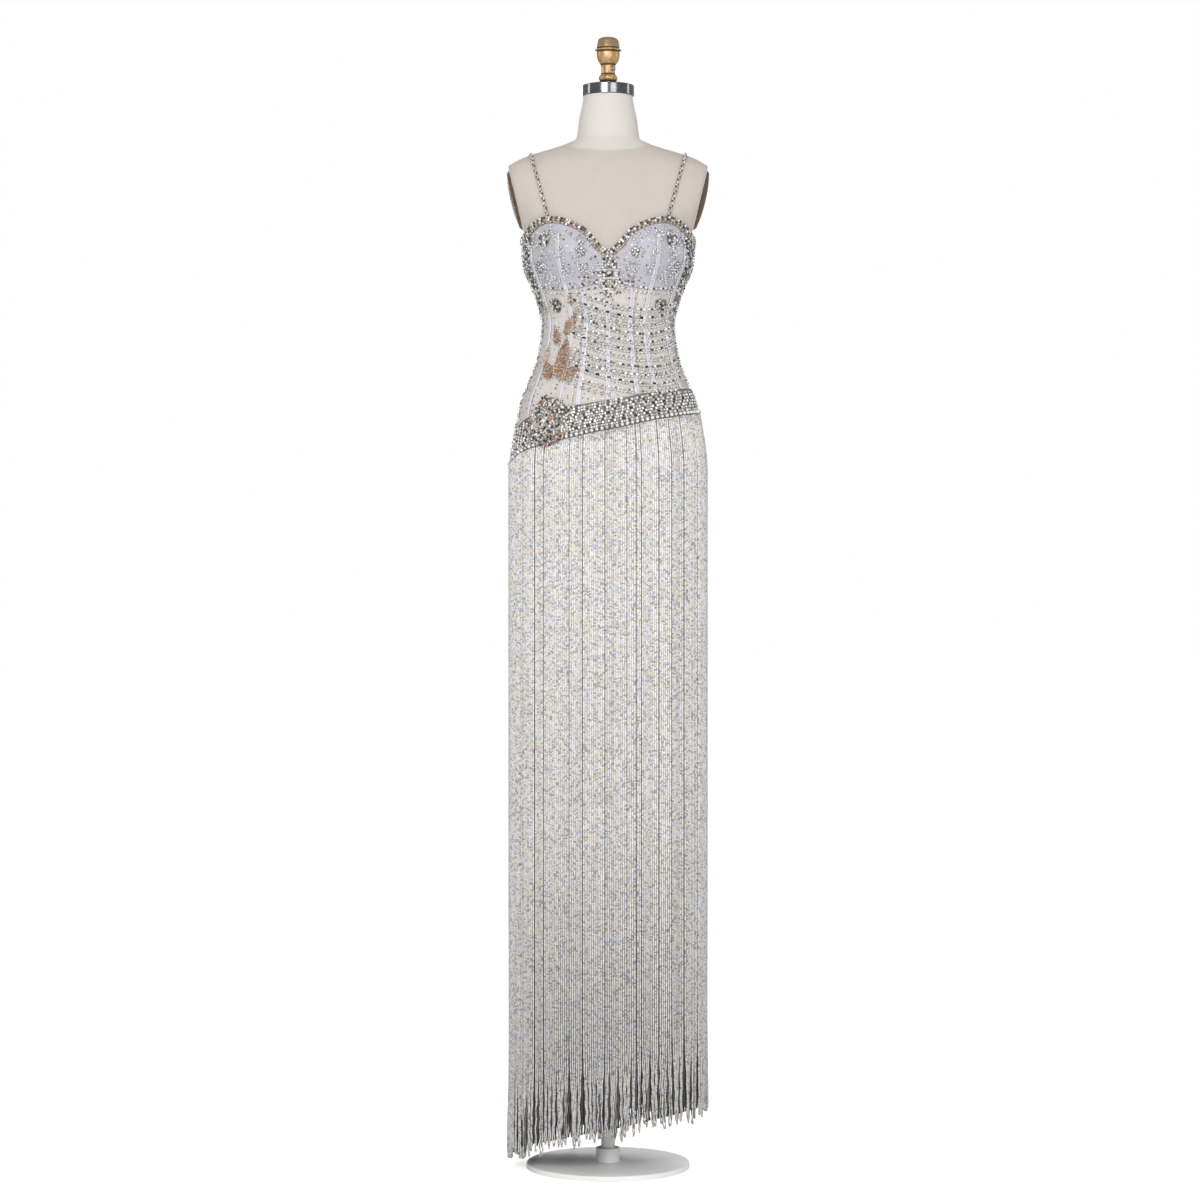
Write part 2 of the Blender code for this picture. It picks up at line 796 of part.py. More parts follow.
def make_rosette(rosette, layer, under):
    """A domed applique of stones with a petalled face, on the surface that under() gives."""
    spokes, rings = 2 * rosette.petals, 3
    angle, z = math.radians(rosette.degrees), rosette.z
    around = (surface(angle + 0.01, z) - surface(angle - 0.01, z)).length / 0.02
    mesh = bmesh.new()

    def place(share, turn, out):
        across = share * math.cos(turn) * rosette.width / 2
        up = share * math.sin(turn) * rosette.height / 2
        return mesh.verts.new(under(angle + across / around, z + up, out))

    def domed(share, k):
        petal = STONE if k % 2 and share < 1 else 0.0
        return layer.outer + rosette.dome * (1 - share**2) + petal

    def flat(share, k):
        return layer.inner

    faces = []
    for lift in (domed, flat):
        loops = [
            [place(ring / rings, math.tau * k / spokes, lift(ring / rings, k)) for k in range(spokes)]
            for ring in range(1, rings + 1)
        ]
        faces.append(loops)
        centre = place(0, 0, lift(0, 0))
        for k in range(spokes):
            n = (k + 1) % spokes
            mesh.faces.new((centre, loops[0][k], loops[0][n]))
            for small, large in zip(loops, loops[1:]):
                mesh.faces.new((small[k], large[k], large[n], small[n]))
    front_rim, back_rim = faces[0][-1], faces[1][-1]
    for k in range(spokes):
        n = (k + 1) % spokes
        mesh.faces.new((front_rim[k], back_rim[k], back_rim[n], front_rim[n]))
    finish_object(rosette.name, mesh, "rhinestone")


def make_appliques():
    """Stone rosettes on the cups and below them, and the brooch on the hip band."""
    for rosette in ROSETTES:
        make_rosette(rosette, ROSETTE_LAYER, net_point)
    make_rosette(BROOCH, BROOCH_LAYER, on_body)


def make_slip():
    """The straight under-skirt, in a front and a back panel, with soft folds towards its hem."""
    heights = (SLIP_HEM_Z, 0.56, 0.92, HIP_Z)
    rows = len(heights) + 1
    for name, first in (("slip_front", -math.pi / 2), ("slip_back", math.pi / 2)):

        def place(u, v, out, first=first):
            angle = half_way_round(first, u)
            top = band_middle(angle) - HIP_SEAM / 2
            j = round(v * rows)
            above_hip = blend(HIP_Z, top, (j - len(heights) + 1) / 2)
            z = heights[j] if j < len(heights) else above_hip
            fallen = max(0.0, (HIP_Z - z) / (HIP_Z - SLIP_HEM_Z))
            fold = SLIP_FOLD_DEPTH * fallen * (1 + math.cos(SLIP_FOLDS * angle)) / 2
            return on_skirt(angle, z, out - fold)

        cloth_wall(name, "slip_satin", place, SLIP_COLUMNS, rows, NET_LAYER)


def even_angles(first, shares):
    """Angles at these shares of the way round half of the hip, by length."""
    steps = 720
    angles = [first + math.pi * k / steps for k in range(steps + 1)]
    points = [surface(angle, HIP_Z) for angle in angles]
    lengths = [0.0]
    for before, after in zip(points, points[1:]):
        lengths.append(lengths[-1] + (after - before).length)
    found, k = [], 0
    for share in shares:
        wanted = share * lengths[-1]
        while k < steps - 1 and lengths[k + 1] < wanted:
            k += 1
        t = (wanted - lengths[k]) / (lengths[k + 1] - lengths[k])
        found.append(blend(angles[k], angles[k + 1], t))
    return found


def strip_corners(mesh, angle):
    """The strip's four corners at one angle: outer top, outer foot, inner foot, inner top."""
    high = band_at(angle).low - GAP
    low = high - FRINGE_STRIP_HEIGHT
    outer, inner = STRIP_LAYER.outer, STRIP_LAYER.inner
    places = ((high, outer), (low, outer), (low, inner), (high, inner))
    return [mesh.verts.new(on_skirt(angle, z, out)) for z, out in places]


def close_strip(mesh, corners):
    """Faces of the strip, left open under each strand's root."""
    for k, (here, after) in enumerate(zip(corners, corners[1:])):
        for a, b in ((0, 1), (2, 3), (3, 0)):
            mesh.faces.new((here[a], here[b], after[b], after[a]))
        if k % 2:
            mesh.faces.new((here[1], here[2], after[2], after[1]))
    mesh.faces.new(corners[0])
    mesh.faces.new(corners[-1])


def hang_strand(mesh, here, after, angles, chance):
    """A strand out of its root: down to the hip line, and from there plumb to its end."""
    loop = [here[1], here[2], after[2], after[1]]
    end_z = band_at(angles[0]).low - FRINGE_LENGTH + chance.uniform(-0.004, 0.010)
    sway = chance.uniform(-0.003, 0.003)
    flare = FRINGE_FLARE + chance.uniform(-0.001, 0.001)
    hip_z = min(HIP_Z, loop[0].co.z - 0.002)
    outer, inner = STRIP_LAYER.outer, STRIP_LAYER.inner
    for z, turn, lift in ((hip_z, 0, 0), (end_z, sway, flare)):
        places = ((angles[0], outer), (angles[0], inner), (angles[1], inner), (angles[1], outer))
        ring = [mesh.verts.new(on_skirt(angle + turn, z, out + lift)) for angle, out in places]
        for a in range(4):
            b = (a + 1) % 4
            mesh.faces.new((loop[a], ring[a], ring[b], loop[b]))
        loop = ring
    mesh.faces.new(loop)


def make_fringe():
    """Bead strands on a narrow strip under the hip band, in a front and a back length."""
    chance = random.Random(11)
    edges = []
    for strand in range(STRANDS_A_HALF):
        edges += [strand, strand + STRAND_SHARE]
    margin = 0.001
    shares = [blend(margin, 1 - margin, edge / edges[-1]) for edge in edges]
    for name, first in (("fringe_front", -math.pi / 2), ("fringe_back", math.pi / 2)):
        mesh = bmesh.new()
        angles = even_angles(first, shares)
        corners = [strip_corners(mesh, angle) for angle in angles]
        close_strip(mesh, corners)
        for k in range(0, len(angles), 2):
            hang_strand(mesh, corners[k], corners[k + 1], angles[k : k + 2], chance)
        finish_object(name, mesh, "bead_fringe")


make_form_body()
make_armplates()
make_neck_fittings()
make_stand()
make_bodice()
make_boning_channels()
make_placket()
make_neck_trim()
make_straps()
make_hip_band()
make_appliques()
make_slip()
make_fringe()
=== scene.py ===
"""Looks of the fringed evening gown and its dress form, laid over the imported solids.

Metres, +Z up, and the form faces -Y. Angles run round the body from the centre front, through the
wearer's left (+X) at 90 degrees, to the centre back at 180. Left and right are the wearer's.
"""

import bisect
import logging
import math
import random
from dataclasses import dataclass, field
from enum import Enum
from typing import Callable, NamedTuple, Sequence

import bmesh
import bpy
from mathutils import Matrix, Vector


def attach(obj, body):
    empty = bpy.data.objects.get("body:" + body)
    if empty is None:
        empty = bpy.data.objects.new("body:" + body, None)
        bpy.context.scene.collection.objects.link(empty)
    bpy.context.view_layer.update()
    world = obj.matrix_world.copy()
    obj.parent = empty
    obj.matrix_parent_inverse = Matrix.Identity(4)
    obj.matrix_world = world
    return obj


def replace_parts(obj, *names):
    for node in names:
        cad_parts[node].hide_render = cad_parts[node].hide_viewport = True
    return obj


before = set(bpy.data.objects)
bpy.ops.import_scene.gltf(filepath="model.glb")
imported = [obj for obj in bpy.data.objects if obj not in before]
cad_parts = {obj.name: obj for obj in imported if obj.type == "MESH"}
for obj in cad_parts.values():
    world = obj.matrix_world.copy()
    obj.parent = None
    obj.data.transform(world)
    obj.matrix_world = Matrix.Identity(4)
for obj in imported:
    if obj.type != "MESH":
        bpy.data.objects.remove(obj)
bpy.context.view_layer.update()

LOG = logging.getLogger("fringed_gown")
Place = tuple[float, float]
Surface = Callable[[float, float], Vector]


# The form's skin and the gown's lines on it


class Section(NamedTuple):
    """One level cut through the torso."""

    z: float
    half_width: float
    front: float
    back: float
    squareness: float


BODY = (
    Section(1.110, 0.1580, 0.098, 0.108, 2.2),
    Section(1.200, 0.1680, 0.104, 0.124, 2.2),
    Section(1.285, 0.1740, 0.108, 0.132, 2.2),
    Section(1.330, 0.1695, 0.106, 0.129, 2.2),
    Section(1.366, 0.1635, 0.104, 0.122, 2.2),
    Section(1.403, 0.1560, 0.101, 0.113, 2.2),
    Section(1.440, 0.1410, 0.096, 0.103, 2.2),
    Section(1.477, 0.1270, 0.090, 0.094, 2.2),
    Section(1.545, 0.1165, 0.083, 0.085, 2.15),
    Section(1.588, 0.1260, 0.090, 0.090, 2.2),
    Section(1.625, 0.1400, 0.097, 0.097, 2.25),
    Section(1.662, 0.1525, 0.102, 0.104, 2.3),
    Section(1.699, 0.1545, 0.105, 0.108, 2.3),
    Section(1.730, 0.1660, 0.106, 0.109, 2.35),
    Section(1.770, 0.1880, 0.101, 0.107, 2.4),
    Section(1.805, 0.1950, 0.093, 0.101, 2.4),
    Section(1.832, 0.1880, 0.084, 0.094, 2.3),
    Section(1.846, 0.1690, 0.078, 0.089, 2.2),
    Section(1.855, 0.1490, 0.073, 0.085, 2.1),
    Section(1.866, 0.1130, 0.067, 0.079, 2.05),
    Section(1.877, 0.0790, 0.061, 0.072, 2.0),
    Section(1.890, 0.0590, 0.055, 0.064, 2.0),
    Section(1.925, 0.0540, 0.051, 0.056, 2.0),
    Section(1.966, 0.0465, 0.0465, 0.0465, 2.0),
)


class NeckPoint(NamedTuple):
    """A point of the bodice's top edge, by degrees from the centre front."""

    degrees: float
    z: float


NECKLINE = (
    NeckPoint(0, 1.673),
    NeckPoint(6, 1.687),
    NeckPoint(12, 1.7075),
    NeckPoint(19, 1.7205),
    NeckPoint(30, 1.731),
    NeckPoint(38, 1.733),
    NeckPoint(45, 1.730),
    NeckPoint(55, 1.7225),
    NeckPoint(68, 1.711),
    NeckPoint(90, 1.700),
    NeckPoint(120, 1.692),
    NeckPoint(150, 1.676),
    NeckPoint(180, 1.662),
)


class BandPoint(NamedTuple):
    """The hip band's two edges at one place, by degrees from the centre front."""

    degrees: float
    low: float
    high: float


BAND = (
    BandPoint(-90, 1.287, 1.344),
    BandPoint(-60, 1.309, 1.371),
    BandPoint(-35, 1.325, 1.385),
    BandPoint(-20, 1.334, 1.391),
    BandPoint(0, 1.348, 1.401),
    BandPoint(30, 1.367, 1.416),
    BandPoint(60, 1.377, 1.423),
    BandPoint(90, 1.381, 1.426),
    BandPoint(135, 1.366, 1.413),
    BandPoint(180, 1.336, 1.388),
    BandPoint(225, 1.305, 1.360),
    BandPoint(270, 1.287, 1.344),
)


class Chart:
    """A table that is read on a smooth curve through its rows, and never overshoots them."""

    def __init__(self, rows: Sequence[tuple[float, ...]]) -> None:
        """Keeps the rows, which are sorted by their first column."""
        self.rows = rows
        self.keys = [row[0] for row in rows]
        self.known: dict[float, tuple[float, ...]] = {}

    def slope(self, i: int, column: int) -> float:
        """The slope of one column at row i.

        Args:
            i: The row.
            column: The column.

        Returns:
            The slope, 0 at the ends and at a turn.
        """
        if i in (0, len(self.rows) - 1):
            return 0.0
        before, here, after = self.rows[i - 1 : i + 2]
        slope_in = (here[column] - before[column]) / (here[0] - before[0])
        slope_out = (after[column] - here[column]) / (after[0] - here[0])
        if slope_in * slope_out <= 0:
            return 0.0
        return 2 * slope_in * slope_out / (slope_in + slope_out)

    def at(self, key: float) -> tuple[float, ...]:
        """The columns after the first, at a key between the rows'.

        Args:
            key: A value of the first column.

        Returns:
            The other columns.
        """
        key = round(min(max(key, self.keys[0]), self.keys[-1]), 6)
        if key not in self.known:
            i = min(max(bisect.bisect_right(self.keys, key) - 1, 0), len(self.rows) - 2)
            span = self.keys[i + 1] - self.keys[i]
            t = (key - self.keys[i]) / span
            found = []
            for column in range(1, len(self.rows[0])):
                start, end = self.rows[i][column], self.rows[i + 1][column]
                found.append(
                    (2 * t**3 - 3 * t**2 + 1) * start
                    + (t**3 - 2 * t**2 + t) * self.slope(i, column) * span
                    + (3 * t**2 - 2 * t**3) * end
                    + (t**3 - t**2) * self.slope(i + 1, column) * span
                )
            self.known[key] = tuple(found)
        return self.known[key]


def blend(start: float, end: float, t: float) -> float:
    """The value t of the way from start to end."""
    return start + (end - start) * t


def eased(low: float, high: float, value: float) -> float:
    """0 up to low, 1 from high on, and a smooth rise between, also where low is the greater."""
    t = min(max((value - low) / (high - low), 0.0), 1.0)
    return t * t * (3 - 2 * t)


@dataclass(frozen=True)
class Figure:
    """The dress form's skin, and the lines that the gown is cut to."""

    underarm_z: float = 1.712
    hip_z: float = 1.285
    neck_top_z: float = 1.966
    armhole_top: Place = (0.184, 1.840)
    armhole_foot: Place = (0.1535, 1.712)
    bust_out: float = 0.030
    bust_x: float = 0.078
    bust_z: float = 1.668
    bust_half_width: float = 0.052
    bust_above: float = 0.062
    bust_below: float = 0.046
    cup_seam_z: float = 1.616
    cup_seam_dip: float = 0.013
    sections: Chart = field(default_factory=lambda: Chart(BODY))
    neck_edge: Chart = field(default_factory=lambda: Chart(NECKLINE))
    band_edges: Chart = field(default_factory=lambda: Chart(BAND))

    def bust(self, x: float, z: float) -> float:
        """How far the bust stands out of the chest."""
        height = self.bust_above if z > self.bust_z else self.bust_below
        across = (abs(x) - self.bust_x) / self.bust_half_width
        up = (z - self.bust_z) / height
        return self.bust_out * math.exp(-(across**2) - up**2)

    def armhole_x(self, z: float) -> float:
        """The flat of the armhole, which leans in towards the underarm."""
        (top_x, top_z), (foot_x, foot_z) = self.armhole_top, self.armhole_foot
        return foot_x + (top_x - foot_x) * (z - foot_z) / (top_z - foot_z)

    def surface(self, angle: float, z: float) -> Vector:
        """A point on the skin.

        Args:
            angle: The angle from the centre front.
            z: The height.

        Returns:
            The point.
        """
        half_width, front, back, squareness = self.sections.at(z)
        power = 2 / squareness
        sine, facing = math.sin(angle), math.cos(angle)
        x = math.copysign(half_width * abs(sine) ** power, sine)
        depth = front if facing > 0 else back
        y = -math.copysign(depth * abs(facing) ** power, facing)
        if z >= self.underarm_z:
            x = math.copysign(min(abs(x), self.armhole_x(z)), x)
        if facing > 0:
            y -= self.bust(x, z) * math.sqrt(facing)
        return Vector((x, y, z))

    def outward(self, angle: float, z: float) -> Vector:
        """The direction square to the skin."""
        step = 0.002
        around = self.surface(angle + step, z) - self.surface(angle - step, z)
        upward = self.surface(angle, z + step) - self.surface(angle, z - step)
        return around.cross(upward).normalized()

    def on_body(self, angle: float, z: float, out: float) -> Vector:
        """A point that stands out from the skin."""
        return self.surface(angle, z) + self.outward(angle, z) * out

    def on_skirt(self, angle: float, z: float, out: float) -> Vector:
        """As on_body above the hip. Below it, cloth hangs plumb from the widest line."""
        point = self.on_body(angle, max(z, self.hip_z), out)
        return Vector((point.x, point.y, z if z < self.hip_z else point.z))

    def reach(self, angle: float, z: float) -> float:
        """Metres round the skin for each radian at this place."""
        step = 0.01
        span = self.surface(angle + step, z) - self.surface(angle - step, z)
        return max(span.length / (2 * step), 0.02)

    def neckline(self, angle: float) -> float:
        """The height of the bodice's top edge."""
        return self.neck_edge.at(abs(math.degrees(angle)))[0]

    def band(self, angle: float) -> Place:
        """The heights of the hip band's two edges."""
        low, high = self.band_edges.at((math.degrees(angle) + 90) % 360 - 90)
        return low, high

    def band_middle(self, angle: float) -> float:
        """The height of the hip band's middle, where bodice and slip meet under it."""
        return sum(self.band(angle)) / 2

    def cup_seam(self, angle: float) -> float:
        """The seam under a cup, lowest under its middle."""
        share = min(abs(angle) / CUP_SIDE, 1)
        return self.cup_seam_z - self.cup_seam_dip * math.sin(math.pi * share)


COLUMN = math.tau / 50
CENTRE_SIDE = 3 * COLUMN
CUP_SIDE = 10 * COLUMN
BACK_SIDE = 18 * COLUMN
HALF_GAP = 0.00015  # half the gap between two panels, in metres
SIDE_GAP = 0.0009  # half the gap at a side seam, in radians
WAIST_RADIUS = 0.12
HALVES = (("front", -math.pi / 2), ("back", math.pi / 2))
FIGURE = Figure()


class Layer(NamedTuple):
    """How far a layer stands off the form, from its inner to its outer face."""

    inner: float
    outer: float


NET_LAYER = Layer(0.0020, 0.0032)
TOP_LAYER = Layer(0.0040, 0.0050)
TRIM_LAYER = Layer(0.0040, 0.0060)
BAND_LAYER = Layer(0.0040, 0.0062)
ROSETTE_LAYER = Layer(0.0040, 0.0052)
BROOCH_LAYER = Layer(0.0084, 0.0102)
STRIP_LAYER = Layer(0.0052, 0.0076)
STRAP_LAYER = Layer(0.0010, 0.0032)
SUNK = 0.0002  # how deep a stone's foot sits in its tape


def along(path: Sequence[Place], pitch: float) -> list[Place]:
    """Places at even steps along a line on the skin.

    Args:
        path: Close points of the line, as angle and height.
        pitch: About how far apart the places are.

    Returns:
        The places, the line's two ends among them.
    """
    points = [FIGURE.surface(*place) for place in path]
    lengths = [0.0]
    for before, after in zip(points, points[1:]):
        lengths.append(lengths[-1] + (after - before).length)
    count = max(1, round(lengths[-1] / pitch))
    places, k = [], 0
    for i in range(count + 1):
        wanted = lengths[-1] * i / count
        while k < len(path) - 2 and lengths[k + 1] < wanted:
            k += 1
        t = (wanted - lengths[k]) / max(lengths[k + 1] - lengths[k], 1e-9)
        places.append(tuple(blend(a, b, t) for a, b in zip(path[k], path[k + 1])))
    return places


def on_half(first: float, u: float) -> float:
    """The angle u of the way round the half that starts at first, within its side seams."""
    return blend(first + SIDE_GAP, first + math.pi - SIDE_GAP, u)


def beside(place: Place, across: float, up: float) -> Place:
    """The place this many metres across and up from another on the skin."""
    return place[0] + across / FIGURE.reach(*place), place[1] + up


# Finishes


def linear(colour: str) -> tuple[float, float, float, float]:
    """The linear colour of an sRGB hex value such as #E3DAD0.

    Args:
        colour: The hex value.

    Returns:
        Red, green, blue and 1.
    """
    found = []
    for k in (1, 3, 5):
        share = int(colour[k : k + 2], 16) / 255
        found.append(share / 12.92 if share <= 0.04045 else ((share + 0.055) / 1.055) ** 2.4)
    return (*found, 1.0)


def feed(tree: bpy.types.NodeTree, node: bpy.types.Node, feeds: dict[str | int, object]) -> None:
    """Fills a node's inputs: an output is linked, and anything else is a value.

    Args:
        tree: The node tree.
        node: The node whose inputs are filled.
        feeds: What goes into each input.
    """
    for name, value in feeds.items():
        if isinstance(value, bpy.types.NodeSocket):
            tree.links.new(value, node.inputs[name])
        else:
            node.inputs[name].default_value = value


def add_node(
    tree: bpy.types.NodeTree,
    kind: str,
    feeds: dict[str | int, object] | None = None,
    stops: Sequence[tuple[float, str]] = (),
    **settings: object,
) -> bpy.types.Node:
    """Adds a node with its settings and links.

    Args:
        tree: The node tree that it goes into.
        kind: Blender's name for the node.
        feeds: What goes into each input: an output to link, or a value.
        stops: A colour ramp's places and hex colours.
        settings: The node's own properties.

    Returns:
        The node.
    """
    node = tree.nodes.new(kind)
    for name, value in settings.items():
        setattr(node, name, value)
    feed(tree, node, feeds or {})
    if stops:
        elements = node.color_ramp.elements
        while len(elements) < len(stops):
            elements.new(0.5)
        for element, (place, colour) in zip(elements, stops):
            element.position = place
            element.color = linear(colour)
    return node


def crossed(
    tree: bpy.types.NodeTree, vector: bpy.types.NodeSocket, period: float, waver: float
) -> bpy.types.NodeSocket:
    """Two sets of threads that cross, high on either set.

    Args:
        tree: The node tree that they go into.
        vector: Where they lie, in metres.
        period: Metres from thread to thread, on which the wave's scale depends.
        waver: How far the threads stray.

    Returns:
        The height of the upper thread.
    """
    warp, weft = (
        add_node(
            tree,
            "ShaderNodeTexWave",
            {"Vector": vector, "Scale": math.tau / 20 / period, "Distortion": waver},
            bands_direction=direction,
        ).outputs["Fac"]
        for direction in ("X", "Y")
    )
    return add_node(tree, "ShaderNodeMath", {0: warp, 1: weft}, operation="MAXIMUM").outputs[0]


MADE: dict[str, bpy.types.Material] = {}


@dataclass(frozen=True)
class Finish:
    """A finish with no pattern yet. Each kind of finish adds its own in pattern()."""

    name: str
    roughness: float = 0.5
    metallic: float = 0.0
    sheen: float = 0.0
    coat: float = 0.0
    specular: float = 0.5

    def make(self) -> bpy.types.Material:
        """The Blender material, made once.

        Returns:
            The material.
        """
        if self.name not in MADE:
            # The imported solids' own materials may have this name, so it is given once more.
            material = bpy.data.materials.new(self.name)
            material.name = self.name
            MADE[self.name] = material
            material.use_nodes = True
            shader = material.node_tree.nodes["Principled BSDF"]
            surface = {
                "Roughness": self.roughness,
                "Metallic": self.metallic,
                "Sheen Weight": self.sheen,
                "Coat Weight": self.coat,
                "Specular IOR Level": self.specular,
            }
            feed(material.node_tree, shader, surface)
            self.pattern(material.node_tree, shader)
        return MADE[self.name]

    def pattern(self, tree: bpy.types.NodeTree, shader: bpy.types.Node) -> None:
        """Adds the finish's own nodes.

        Args:
            tree: The material's node tree.
            shader: Its surface shader, which the pattern is linked to.
        """


@dataclass(frozen=True)
class WovenCloth(Finish):
    """Plain woven or satin cloth: a fine crossed thread, soft mottling and a slight nap."""

    colour: str = "#E3DAD0"
    shade: str = "#D8CDC0"
    neck_colour: str = ""
    thread: float = 0.0012
    relief: float = 0.00008
    ribbon_width: float = 0.0
    edge_width: float = 0.0020
    edge_colour: str = "#DEDDE3"

    def pattern(self, tree: bpy.types.NodeTree, shader: bpy.types.Node) -> None:
        """Thread as crossed bands on the cloth's own UV map, in metres.

        They are drawn 1 to 2 mm apart, where real ones have about 0.5 mm, so that they show.

        Args:
            tree: The material's node tree.
            shader: Its surface shader.
        """
        cloth = add_node(tree, "ShaderNodeUVMap", uv_map="cloth").outputs["UV"]
        place = add_node(tree, "ShaderNodeTexCoord").outputs["Object"]
        weave = crossed(tree, cloth, self.thread, 0.4)
        slub = add_node(
            tree,
            "ShaderNodeTexNoise",
            {"Vector": place, "Scale": 22.0, "Detail": 5.0, "Roughness": 0.6},
        )
        tone = add_node(
            tree,
            "ShaderNodeMath",
            {0: slub.outputs["Fac"], 1: weave, 2: 0.25},
            operation="MULTIPLY_ADD",
        )
        ramp = add_node(
            tree,
            "ShaderNodeValToRGB",
            {"Fac": tone.outputs[0]},
            stops=((0.25, self.shade), (0.85, self.colour)),
        )
        base = ramp.outputs["Color"]
        if self.neck_colour:
            neck = add_node(tree, "ShaderNodeAttribute", attribute_name="neck")
            mixed = add_node(
                tree,
                "ShaderNodeMix",
                {0: neck.outputs["Fac"], 6: base, 7: linear(self.neck_colour)},
                data_type="RGBA",
            )
            base = mixed.outputs[2]
        if self.ribbon_width:
            across = add_node(tree, "ShaderNodeSeparateXYZ", {0: cloth}).outputs["X"]
            half = self.ribbon_width / 2
            off = add_node(tree, "ShaderNodeMath", {0: across, 1: half}, operation="SUBTRACT")
            off = add_node(tree, "ShaderNodeMath", {0: off.outputs[0]}, operation="ABSOLUTE")
            inner, outer = half - self.edge_width, half - 0.6 * self.edge_width
            rim = add_node(
                tree,
                "ShaderNodeMapRange",
                {"Value": off.outputs[0], "From Min": inner, "From Max": outer},
            )
            edged = add_node(
                tree,
                "ShaderNodeMix",
                {0: rim.outputs["Result"], 6: base, 7: linear(self.edge_colour)},
                data_type="RGBA",
            )
            base = edged.outputs[2]
        bump = add_node(
            tree, "ShaderNodeBump", {"Height": weave, "Strength": 0.5, "Distance": self.relief}
        )
        feed(tree, shader, {"Base Color": base, "Normal": bump.outputs["Normal"]})


@dataclass(frozen=True)
class StretchNet(Finish):
    """Fine stretch tulle: crossed threads with holes that let the layer beneath show."""

    colour: str = "#F2ECE7"
    shade: str = "#E4DDD8"
    open_share: float = 0.30
    thread_share: float = 0.80
    mesh: float = 0.0022

    def pattern(self, tree: bpy.types.NodeTree, shader: bpy.types.Node) -> None:
        """The holes are drawn 2.2 mm apart, where real tulle has about 1 mm, so that they show.

        Args:
            tree: The material's node tree.
            shader: Its surface shader.
        """
        cloth = add_node(tree, "ShaderNodeUVMap", uv_map="cloth").outputs["UV"]
        place = add_node(tree, "ShaderNodeTexCoord").outputs["Object"]
        on_the_bias = add_node(
            tree, "ShaderNodeMapping", {"Vector": cloth, "Rotation": (0, 0, math.radians(45))}
        ).outputs["Vector"]
        threads = crossed(tree, on_the_bias, self.mesh, 0.2)
        cloud = add_node(
            tree, "ShaderNodeTexNoise", {"Vector": place, "Scale": 14.0, "Detail": 4.0}
        )
        ramp = add_node(
            tree,
            "ShaderNodeValToRGB",
            {"Fac": cloud.outputs["Fac"]},
            stops=((0.3, self.shade), (0.7, self.colour)),
        )
        cover = add_node(
            tree,
            "ShaderNodeMapRange",
            {
                "Value": threads,
                "From Min": 0.55,
                "From Max": 0.95,
                "To Min": self.open_share,
                "To Max": self.thread_share,
            },
        )
        bump = add_node(
            tree, "ShaderNodeBump", {"Height": threads, "Strength": 0.4, "Distance": 0.0001}
        )
        look = {
            "Base Color": ramp.outputs["Color"],
            "Alpha": cover.outputs["Result"],
            "Normal": bump.outputs["Normal"],
        }
        feed(tree, shader, look)


class Tint(Enum):
    """The stones' colours, as places on the crystal finish's ramp."""

    JET = 0
    SMOKE = 1
    SILVER = 2
    CLEAR = 3
    COPPER = 4
    CHAMPAGNE = 5

    @property
    def place(self) -> float:
        """The middle of this colour's step on the ramp."""
        return (self.value + 0.5) / len(Tint)


@dataclass(frozen=True)
class FoiledCrystal(Finish):
    """Cut glass over a foil back, with a painted reflection that makes each facet light or dark by
    the way it faces.
    """

    colours: tuple[str, ...] = ("#211F1E", "#7A7672", "#D3D1CE", "#FFFFFE", "#CE9670", "#E9DAC6")
    # The range of the painted reflection on the facets.
    painted_dark_facet: float = 0.60
    painted_bright_facet: float = 1.00

    def pattern(self, tree: bpy.types.NodeTree, shader: bpy.types.Node) -> None:
        """One random value for each facet, from the direction that the facet faces, as a painted
        reflection.

        Args:
            tree: The material's node tree.
            shader: Its surface shader.
        """
        tint = add_node(tree, "ShaderNodeAttribute", attribute_name="tint")
        steps = [(k / len(self.colours), colour) for k, colour in enumerate(self.colours)]
        ramp = add_node(tree, "ShaderNodeValToRGB", {"Fac": tint.outputs["Fac"]}, stops=steps)
        ramp.color_ramp.interpolation = "CONSTANT"
        faces = add_node(tree, "ShaderNodeNewGeometry").outputs["True Normal"]
        snapped = add_node(
            tree, "ShaderNodeVectorMath", {0: faces, 1: (0.04, 0.04, 0.04)}, operation="SNAP"
        )
        # Painted reflection: each facet is lighter or darker by the way it faces, as if it caught or
        # missed the light.
        facet = add_node(
            tree, "ShaderNodeTexWhiteNoise", {"Vector": snapped.outputs["Vector"]}
        )
        level = add_node(
            tree,
            "ShaderNodeMapRange",
            {
                "Value": facet.outputs["Value"],
                "To Min": self.painted_dark_facet,
                "To Max": self.painted_bright_facet,
            },
        )
        # Painted light for each stone, set where it is sewn: some are dimmed as if they caught less
        # light.
        painted_light = add_node(tree, "ShaderNodeAttribute", attribute_name="painted_light")
        level = add_node(
            tree,
            "ShaderNodeMath",
            {0: level.outputs["Result"], 1: painted_light.outputs["Fac"]},
            operation="MULTIPLY",
        )
        lit = add_node(
            tree,
            "ShaderNodeVectorMath",
            {0: ramp.outputs["Color"], "Scale": level.outputs[0]},
            operation="SCALE",
        )
        feed(tree, shader, {"Base Color": lit.outputs["Vector"]})


